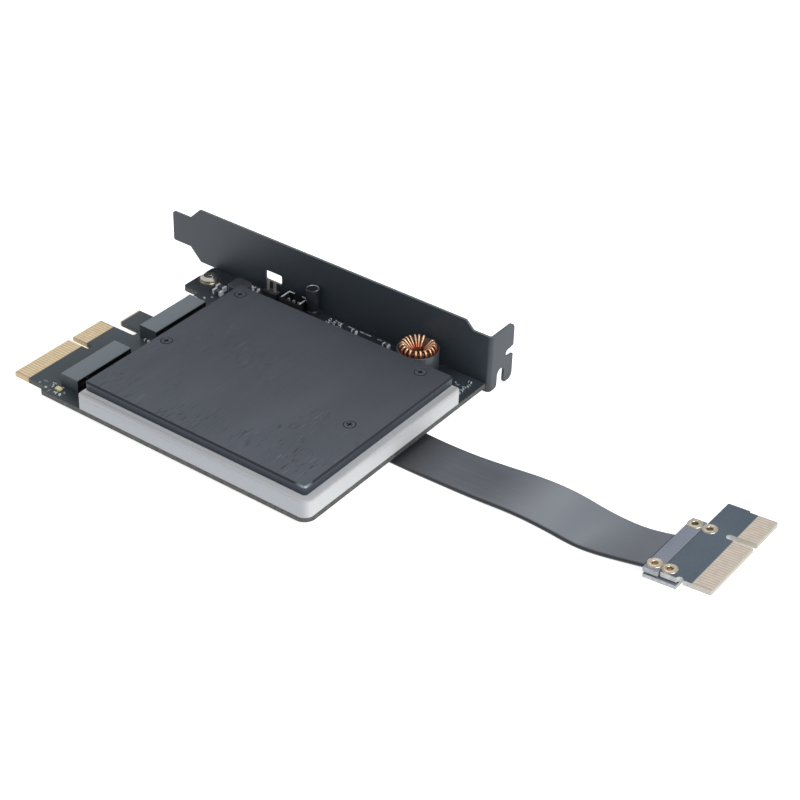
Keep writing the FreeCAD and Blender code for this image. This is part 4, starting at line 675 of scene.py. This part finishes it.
# %% Main board and end board, with bare fibre between their contacts
def painted_lacquer_light(finish):
    """Painted light on the lacquer: fair by the contacts and the flange, dark at the lug and the plate."""
    contact_end = finish.both(finish.along("Y", none_at=36.0, full_at=14.0, most=0.85),
                              finish.along("X", none_at=-46.0, full_at=-34.0))
    flange_end = finish.along("Y", none_at=97.0, full_at=103.0, most=0.6)
    return calc(finish.tree, "MAXIMUM", contact_end, flange_end)


circuit_board = board_finish("circuit_board", [(34, 39, 45), (44, 50, 57)], [(56, 57, 56), (84, 84, 80)],
                             painted_lacquer_light)
circuit_board.tint(circuit_board.between("Y", -1.0, 5.5, soft=0.3), chart(190, 168, 138))
end_lacquer = board_finish("end_board_lacquer", [(64, 78, 90), (78, 92, 104)],
                           [(158, 160, 156), (188, 190, 186)])
end_lacquer.tint(end_lacquer.between("Y", 200.2, 210.0, soft=0.3), chart(180, 174, 162))
circuit_board.tell()
end_lacquer.tell()

# %% [markdown]
# ## Cable tape
# The tape over the cable is smooth and satin, with faint lengthwise lines where the conductors lie. The
# lines are in the profile too, but there they are too shallow to show from afar, so the colour and a bump
# repeat them. The tape is paler where it lies highest, which is a painted sheen, darker in the board's
# shadow, which is painted shade, and dark along one edge.

# %% Cable jacket
# how often each pattern repeats in a metre along X, Y and Z
TAPE_LINES = (1500.0, 12.0, 12.0)
TAPE_DRIFT = (90.0, 40.0, 40.0)
cable_jacket = Finish("cable_jacket", roughness=0.3)
tree, place = cable_jacket.tree, cable_jacket.place
tape_lines = stretched_noise(tree, place, TAPE_LINES, detail=2.0)
tape_drift = stretched_noise(tree, place, TAPE_DRIFT, detail=2.0)
tape_tone = ramp(tree, blend_of(tree, tape_lines, tape_drift, share=0.4), 0.35, 0.65)
cable_jacket.paint(mixed(tree, tape_tone, chart(78, 82, 88), chart(92, 96, 103)))
# painted sheen where the tape lies highest
painted_sheen = cable_jacket.both(cable_jacket.along("Y", none_at=136.0, full_at=156.0),
                           cable_jacket.along("Y", none_at=182.0, full_at=160.0, least=0.4))
cable_jacket.tint(painted_sheen, chart(120, 124, 131))
cable_jacket.relief(tape_lines, depth=0.03, strength=0.15)
cable.data.materials.append(cable_jacket.material)
cable_jacket.tell()

# %% Dark edge and painted shade of the jacket
# the cable's long edge shifts along X by this share of the way along Y
EDGE_SKEW = 0.0122
skew = calc(tree, "MULTIPLY", cable_jacket.part(place, "Y"), EDGE_SKEW)
straight_x = calc(tree, "ADD", cable_jacket.part(place, "X"), skew)
cable_jacket.tint(ramp(tree, straight_x, -12.4 * MM, -11.7 * MM), chart(42, 45, 49))
# painted shade where the tape comes from under the board
cable_jacket.tint(cable_jacket.along("Y", none_at=121.5, full_at=112.5), chart(44, 47, 50))
cable_jacket.tell()

# %% [markdown]
# ## A finish for every solid
# Each solid's record names a slot, which says what it is made of. Most solids take the finish of their
# slot. A few stand out from it, as the black screws of the plate do from the nickel ones, and are listed
# by their name.

# %% Give every solid its finish
SLOT_FINISHES = {
    "circuit_board": circuit_board, "contact_gold": contact_gold, "bracket_coat": bracket_coat,
    "screw_steel": screw_steel, "plate_finish": plate_finish, "post_metal": post_metal,
    "guide_plastic": guide_plastic, "light_chip": light_chip, "pad_rubber": pad_rubber,
    "socket_plastic": socket_plastic, "tin": tin, "case_plastic": case_plastic,
    "core_ferrite": core_ferrite, "copper_wire": copper_wire, "can_metal": can_metal,
    "coil_block": coil_block, "chip_epoxy": chip_epoxy, "small_ceramic": small_ceramic,
    "amber_light": amber_light, "cable_jacket": cable_jacket, "bar_board": bar_board,
    "eyelet_metal": eyelet_metal}
NODE_FINISHES = {
    "end_board": end_lacquer, "end_contacts": end_gold, "joining_plate": joining_board,
    "plate_screws": black_screw, "header_pins": pin_tin, "connector_pins": pin_tin,
    "header_base": chip_epoxy, "can_base": chip_epoxy, "light_connector": connector_shell}
slot_names = {entry["node"]: entry["material_slot"] for entry in frame["record"]["subparts"]}


def finish_of(node):
    """The finish that a solid takes."""
    return NODE_FINISHES.get(node) or SLOT_FINISHES[slot_names[node]]


for node in slot_names:
    for holder in nodes[node].material_slots:
        holder.material = finish_of(node).material
print("dressed", len(slot_names), "solids")

# %% [markdown]
# ## Tools for pieces
# A piece is drawn as a bmesh. Before it becomes an object its double points are merged and its faces
# turned outwards. Pieces that only need softer edges than the solid start as a copy of it. The solid's
# mesh is loose triangles, so the copy is joined again and its flat faces are made whole, and only then
# can a bevel find the edges.

# %% Finish a piece
MERGE_DISTANCE = 0.002 * MM


def make_piece(shape, name, finish, slot, *replaced, sharp=35.0):
    """Turn a bmesh into an object that rides on the card and stands for the solids named."""
    bmesh.ops.remove_doubles(shape, verts=shape.verts, dist=MERGE_DISTANCE)
    bmesh.ops.recalc_face_normals(shape, faces=shape.faces)
    mesh = bpy.data.meshes.new(name)
    shape.to_mesh(mesh)
    shape.free()
    mesh.shade_smooth()
    mesh.set_sharp_from_angle(angle=math.radians(sharp))
    mesh.materials.append(finish.material)
    piece = put_in_scene(name, mesh)
    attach(piece, "root")
    if replaced:
        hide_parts(*replaced)
    print(name, len(mesh.polygons), "faces")
    return piece


print("points closer than", MERGE_DISTANCE, "metres merge")


# %% Copies, turned shapes and middles
def merged_copy(node):
    """A solid's own shape as a bmesh, with its loose triangles joined."""
    shape = bmesh.new()
    shape.from_mesh(nodes[node].data)
    bmesh.ops.remove_doubles(shape, verts=shape.verts, dist=MERGE_DISTANCE)
    return shape


def turn_outline(shape, outline, centre, steps=36):
    """Spin an outline of radius and level in millimetres round the Z axis, then move it to its centre."""
    before = set(shape.verts)
    verts = [shape.verts.new((radius * MM, 0.0, level * MM)) for radius, level in outline]
    edges = [shape.edges.new(pair) for pair in zip(verts, verts[1:])]
    bmesh.ops.spin(shape, geom=verts + edges, cent=(0, 0, 0), axis=(0, 0, 1), angle=2 * math.pi,
                   steps=steps, use_merge=True)
    bmesh.ops.translate(shape, verts=[vert for vert in shape.verts if vert not in before], vec=centre)


def foot_of(node):
    """The middle of a solid seen from above, on the board's upper surface."""
    low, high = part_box(node)
    middle = (low + high) / 2
    return Vector((middle.x, middle.y, 0.0))


print("the choke stands at", [round(value, 4) for value in foot_of("choke_case")])

# %% [markdown]
# ## Edges that catch the light
# Folded and moulded parts never have knife edges, and cut boards are broken a little at their rims.
# Rounding every edge by hand would be slow, so a bevel modifier rounds all edges that turn by more than a
# set angle. That gives the thin bright and dark lines where faces meet. The plate has its milled chamfer
# in the solid already.

# %% Softened copies
SAME_PLANE = math.radians(0.5)
EDGE_TURN = math.radians(32)
# width of the rounded edge in millimetres, and its segments
EDGE_SOFTNESS = {
    "bracket": (0.12, 2), "drive_socket_far": (0.12, 2), "drive_socket_near": (0.12, 2),
    "shielded_coil": (0.4, 3), "end_bar": (0.12, 2), "joining_plate": (0.12, 2), "end_board": (0.06, 2),
    "main_board": (0.06, 2), "status_light": (0.15, 2), "bracket_screws": (0.3, 3)}


def soften(node, width, segments):
    """Stand for a solid with a copy whose sharp edges are rounded."""
    shape = merged_copy(node)
    bmesh.ops.dissolve_limit(shape, angle_limit=SAME_PLANE, verts=shape.verts, edges=shape.edges)
    piece = make_piece(shape, node + "_soft", finish_of(node), slot_names[node], node)
    bevel = piece.modifiers.new("rounded_edges", "BEVEL")
    bevel.width = width * MM
    bevel.segments = segments
    bevel.limit_method = "ANGLE"
    bevel.angle_limit = EDGE_TURN
    bevel.harden_normals = True


for node, (width, segments) in EDGE_SOFTNESS.items():
    soften(node, width, segments)

# %% [markdown]
# ## Shoulders of the light guide
# The frame is moulded, so its top rolls over into its sides. A bevel would round the shoulder evenly, but
# the real one is nearly square with a tight turn. So the points of the solid's wide rounding are moved
# out to a squarer curve, a superellipse, which needs no new faces.

# %% Light guide with tighter shoulders
SHOULDER = 1.8 * MM
CORNER = 3.0 * MM
SQUARENESS = 12
guide = merged_copy("light_guide")
_, guide_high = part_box("light_guide")
for vert in guide.verts:
    beyond = Vector((max(vert.co.x - guide_high.x + CORNER, 0.0),
                     max(vert.co.y - guide_high.y + CORNER, 0.0)))
    out, up = beyond.length - CORNER + SHOULDER, vert.co.z - guide_high.z + SHOULDER
    if out > 0.0 and up > 0.0:
        reach = ((out / SHOULDER) ** SQUARENESS + (up / SHOULDER) ** SQUARENESS) ** (1 / SQUARENESS)
        shift = beyond.normalized() * out * (1 / reach - 1)
        vert.co += Vector((shift.x, shift.y, up * (1 / reach - 1)))
make_piece(guide, "light_guide_soft", guide_plastic, "guide_plastic", "light_guide", sharp=25.0)

# %% [markdown]
# ## The choke
# A real choke is a ring of ferrite with thick enamelled wire wound through it, turn beside turn, sitting
# in a plastic cup. Its upper side falls towards the hole, so the turns look like petals. One long helix
# would be true to life but hard to bend round such a section, so one turn is a circle that is drawn out
# along the core's rounded section, and it is copied round the ring, with a gap where the winding starts
# and ends.

# %% Section of the core
# corners of the core's section: radius and level in millimetres, the outer side first and upwards
CORE = [(4.9, 5.2), (4.9, 7.5), (4.45, 8.1), (2.25, 6.0), (2.25, 5.2), (2.95, 4.6), (4.3, 4.6)]
CHOKE_CENTRE = foot_of("choke_case")
CURVE_STEPS = 3


def moved_out(corners, by):
    """Every side of a convex outline moved out by a distance."""
    points = [Vector(corner) for corner in corners]
    moved = []
    for before, point, after in zip(points[-1:] + points, points, points[1:] + points[:1]):
        normals = [Vector((side.y, -side.x)).normalized() for side in (point - before, after - point)]
        moved.append(point + sum(normals, Vector((0.0, 0.0))) * by / (1 + normals[0].dot(normals[1])))
    return moved


def with_round_corners(points, reach):
    """A closed outline whose corners are replaced by curves that start a little before each corner."""
    rounded = []
    for before, point, after in zip(points[-1:] + points, points, points[1:] + points[:1]):
        start, end = (point + (other - point).normalized() * reach for other in (before, after))
        for step in range(CURVE_STEPS + 1):
            share = step / CURVE_STEPS
            rounded.append(start.lerp(point, share).lerp(point.lerp(end, share), share))
    return rounded


print("core section with", len(CORE), "corners")

# %% One turn of wire
WIRE_RADIUS = 0.36
WIRE_BEND = 0.3
WIRE_SIDES = 8


def wind_turn(shape):
    """One closed turn of wire round the core's section, in the XZ plane."""
    path = with_round_corners(moved_out(CORE, WIRE_RADIUS), WIRE_BEND)
    frames = []
    for before, point, after in zip(path[-1:] + path, path, path[1:] + path[:1]):
        along = after - before
        frames.append(Matrix.Translation((point.x * MM, 0.0, point.y * MM))
                      @ Matrix.Rotation(math.atan2(along.x, along.y), 4, "Y"))
    ring = bmesh.ops.create_circle(shape, segments=WIRE_SIDES, radius=WIRE_RADIUS * MM, matrix=frames[0])
    edges = list({edge for vert in ring["verts"] for edge in vert.link_edges})
    for before, after in zip(frames, frames[1:] + frames[:1]):
        drawn = bmesh.ops.extrude_edge_only(shape, edges=edges)["geom"]
        verts = [item for item in drawn if isinstance(item, bmesh.types.BMVert)]
        edges = [item for item in drawn if isinstance(item, bmesh.types.BMEdge)
                 and all(vert in verts for vert in item.verts)]
        bmesh.ops.transform(shape, matrix=after @ before.inverted(), verts=verts)


winding = bmesh.new()
wind_turn(winding)
print("one turn has", len(winding.faces), "faces")

# %% Winding
TURNS = 19
OPEN_ANGLE = 26.0
OPEN_FACING = 172.0
# the most that a turn lies off its even place, in degrees, and how this changes from turn to turn
UNEVEN = 1.3
UNEVEN_STEP = 2.4
turn_angles = [math.radians(OPEN_FACING + OPEN_ANGLE / 2 + (360 - OPEN_ANGLE) * (index + 0.5) / TURNS
                            + UNEVEN * math.sin(index * UNEVEN_STEP)) for index in range(TURNS)]


def turn_round(geometry, angle):
    """Turn the points of some geometry round the choke's axis."""
    verts = [item for item in geometry if isinstance(item, bmesh.types.BMVert)]
    bmesh.ops.rotate(winding, verts=verts, cent=(0, 0, 0), matrix=Matrix.Rotation(angle, 3, "Z"))


first_turn = winding.verts[:] + winding.edges[:] + winding.faces[:]
for angle in turn_angles[1:]:
    turn_round(bmesh.ops.duplicate(winding, geom=first_turn)["geom"], angle)
turn_round(first_turn, turn_angles[0])
bmesh.ops.translate(winding, verts=winding.verts[:], vec=CHOKE_CENTRE)
make_piece(winding, "copper_winding", copper_wire, "copper_wire", "choke_winding", sharp=80.0)

# %% Core and cup
CORE_ROUND = 0.2
# radius and level in millimetres, from the middle of the floor out, up the wall, over its rim and back in
CUP = [(0.0, 0.0), (6.05, 0.0), (6.2, 0.15), (6.2, 7.05), (6.12, 7.17), (6.02, 7.2), (5.92, 7.16),
       (5.85, 7.05), (5.85, 0.8), (0.0, 0.8)]
core = bmesh.new()
core_outline = with_round_corners([Vector(corner) for corner in CORE], CORE_ROUND)
turn_outline(core, core_outline + core_outline[:1], CHOKE_CENTRE)
make_piece(core, "ferrite_core", core_ferrite, "core_ferrite", "choke_core", sharp=60.0)
cup = bmesh.new()
turn_outline(cup, CUP, CHOKE_CENTRE, 48)
make_piece(cup, "choke_cup", case_plastic, "case_plastic", "choke_case", sharp=50.0)

# %% [markdown]
# ## The round capacitor
# Its aluminium can is drawn from one sheet, pinched near the foot and rolled over at the top. A cylinder
# with loop cuts would give the same shape, but one outline, turned round the axis, shows all its levels
# at a glance.

# %% Capacitor can
# radius and level in millimetres: the foot, the pinch, the long wall, the rolled rim and the sunken top
CAN = [(0.0, 1.0), (1.98, 1.0), (2.1, 1.12), (2.1, 1.7), (1.85, 1.92), (1.85, 2.1), (2.1, 2.32),
       (2.1, 8.85), (2.02, 9.07), (1.87, 9.18), (1.7, 9.2), (1.6, 9.12), (1.55, 9.05), (0.0, 9.05)]
can = bmesh.new()
turn_outline(can, CAN, foot_of("capacitor_can"), 32)
make_piece(can, "rolled_can", can_metal, "can_metal", "capacitor_can", sharp=50.0)

# %% [markdown]
# ## Eyelets
# The end bar, the joining plate and the end board are held by hollow eyelets. An eyelet is a tube whose
# ends are rolled outwards over the boards. Its outline is drawn once for the upper half and mirrored for
# the lower one, and the turned rings are then laid on the leaning end board. The pair on the open side is
# brass, the other pair is nickel-plated.

# %% Four eyelets on the leaning end board
END_CORNER = Vector((-36.56, 205.76, 2.0)) * MM
END_LEAN = math.radians(4.6)
end_place = Matrix.Translation(END_CORNER) @ Matrix.Rotation(END_LEAN, 4, "X")
# place along X of each pair, its finish, and the rows along Y that both pairs share, in millimetres
EYELET_PAIRS = {"eyelets_nickel": (-0.2, eyelet_metal), "eyelets_brass": (20.3, eyelet_brass)}
EYELET_ROWS = (-17.6, -13.25)
EYELET_LOW = -3.27
EYELET_RIM = [(0.8, 0.0), (0.82, 0.1), (0.95, 0.27), (1.2, 0.35), (1.7, 0.33), (2.05, 0.22), (2.2, 0.08),
              (2.2, 0.0), (1.15, 0.0)]
lower_rim = [(radius, EYELET_LOW - level) for radius, level in reversed(EYELET_RIM)]
for name, (column, finish) in EYELET_PAIRS.items():
    rings = bmesh.new()
    for row in EYELET_ROWS:
        turn_outline(rings, EYELET_RIM + lower_rim + EYELET_RIM[:1], Vector((column, row, 0.0)) * MM, 28)
    bmesh.ops.transform(rings, matrix=end_place, verts=rings.verts[:])
    make_piece(rings, name, finish, "eyelet_metal", "eyelets", sharp=60.0)

# %% [markdown]
# ## Plated ring under the bracket screw
# The screw's head presses on a ring of plated copper on the board, which shows as a thin golden rim. A
# real one is a hair thick, but one as thin as that would flicker with the board's face, so it stands out
# a little more.

# %% Ring pad
LUG_SCREW = Vector((-50.65, 9.7, 0.0)) * MM
RING_PAD = [(2.7, 0.0), (3.35, 0.0), (3.35, 0.05), (3.25, 0.08), (2.7, 0.08), (2.7, 0.0)]
pad = bmesh.new()
turn_outline(pad, RING_PAD, LUG_SCREW)
make_piece(pad, "screw_ring_pad", gold_ring, "contact_gold", sharp=60.0)

# %% [markdown]
# ## Solder and print on the board
# Hand-soldered joints stand up as bright beads, so each is a flattened ball half sunk in the board. White
# print marks the places of parts; here it is plain dashes. Print could be a pattern in the board's
# finish, but as thin tablets it keeps sharp edges close up.

# %% Beads of solder
BEAD_FLATNESS = 0.8
# place along X and Y, and radius, in millimetres
BEADS = [(22.0, 9.6, 0.35), (22.7, 12.6, 0.45), (21.4, 13.9, 0.4), (19.9, 12.9, 0.3), (21.6, 18.7, 0.45),
         (22.9, 16.2, 0.35), (19.8, 16.6, 0.3), (-41.3, 15.8, 0.5), (-43.0, 17.3, 0.4),
         (-46.0, 16.8, 0.45), (-54.3, 22.6, 0.4), (-54.1, 24.2, 0.45), (-53.9, 25.9, 0.55),
         (-52.6, 31.0, 0.6), (-51.9, 33.2, 0.4), (-52.0, 101.3, 0.3)]
solder = grained("dull_solder", (120, 126, 132), (196, 200, 204), 0.3, patch=900.0, grain=3000.0,
                 metallic=0.4)
beads = bmesh.new()
for x, y, radius in BEADS:
    place = Matrix.Translation(Vector((x, y, 0.0)) * MM) @ Matrix.Diagonal((1.0, 1.0, BEAD_FLATNESS, 1.0))
    bmesh.ops.create_uvsphere(beads, u_segments=14, v_segments=8, radius=radius * MM, matrix=place)
make_piece(beads, "solder_beads", solder, "tin", sharp=80.0)

# %% Printed dashes
PRINT_THICK = 0.03
# middle along X and Y, and length along X and Y, in millimetres
PRINT = [(-56.1, 56.2, 0.5, 2.4), (-56.0, 60.6, 0.5, 2.6), (-56.0, 65.9, 0.5, 4.2),
         (-56.0, 71.2, 0.5, 1.6), (-56.0, 73.6, 0.5, 1.8), (-54.0, 63.7, 0.5, 1.0),
         (-54.2, 75.1, 0.25, 2.8), (-56.2, 52.6, 0.4, 0.8), (-54.6, 54.2, 0.4, 0.8),
         (-53.2, 55.6, 0.4, 0.6), (-51.4, 102.4, 0.6, 1.2), (-51.4, 104.4, 0.6, 0.8),
         (20.4, 10.4, 0.3, 1.6), (23.4, 14.4, 1.4, 0.25), (23.4, 18.0, 1.4, 0.25)]
white_print = grained("white_print", (84, 88, 94), (170, 174, 178), 0.6, patch=900.0, grain=3000.0)
dashes = bmesh.new()
for x, y, wide, long in PRINT:
    place = Matrix.Translation(Vector((x, y, PRINT_THICK / 2)) * MM)
    bmesh.ops.create_cube(dashes, size=MM, matrix=place @ Matrix.Diagonal((wide, long, PRINT_THICK, 1.0)))
make_piece(dashes, "printed_dashes", white_print, "small_ceramic")

# %% [markdown]
# ## Table
# The card lies on a plain white table. A large flat square is enough, a few metres across so that its rim
# is never seen. A glow of its own keeps it white where the lamps hardly reach.

# %% Table
TABLE_REACH = 4.0
table_shape = bmesh.new()
bmesh.ops.create_grid(table_shape, x_segments=1, y_segments=1, size=TABLE_REACH,
                      matrix=Matrix.Translation((0, 0, cad_bounds[0][2])))
table_mesh = bpy.data.meshes.new("table")
table_shape.to_mesh(table_mesh)
table_shape.free()
table = put_in_scene("table", table_mesh)
table_white = Finish("table_white", 0.9, Emission_Color=chart(255, 255, 255), Emission_Strength=0.75)
table_white.paint(chart(246, 246, 246))
table_mesh.materials.append(table_white.material)
print("table at level", round(cad_bounds[0][2], 4))

# %% [markdown]
# ## Light
# The card lies in a white room, under one large soft lamp beside the flange. A small lamp would throw
# hard shadows and small highlights; a large one gives the long soft gradients that metal and plastic
# need. A second, weak lamp, aimed at the cable from beyond the bracket and the contacts, puts a sheen on
# the tape.

# %% Room
ROOM_COLOUR = (0.93, 0.96, 1.0, 1.0)
ROOM_STRENGTH = 0.6
bpy.context.scene.view_settings.view_transform = "Standard"
room = bpy.data.worlds.new("white_room")
room.use_nodes = True
feed(room.node_tree, room.node_tree.nodes["Background"], Color=ROOM_COLOUR, Strength=ROOM_STRENGTH)
bpy.context.scene.world = room
print("room strength", ROOM_STRENGTH)


# %% Lamps
def soft_lamp(name, place, aim, size, power):
    """A square area lamp turned towards a point."""
    lamp = bpy.data.lights.new(name, "AREA")
    lamp.shape = "SQUARE"
    lamp.size = size
    lamp.energy = power
    holder = put_in_scene(name, lamp)
    direction = Vector(aim) - Vector(place)
    turn_to_aim = direction.to_track_quat("-Z", "Y").to_matrix().to_4x4()
    holder.matrix_world = Matrix.Translation(place) @ turn_to_aim
    print(name, power, "watts from", round(direction.length, 2), "metres")


soft_lamp("key_lamp", place=(0.25, 1.1, 0.9), aim=(-0.02, 0.08, 0.0), size=0.9, power=11.5)
soft_lamp("window_lamp", place=(-0.673, -0.321, 0.948), aim=(-0.022, 0.158, 0.0), size=0.28, power=0.6)
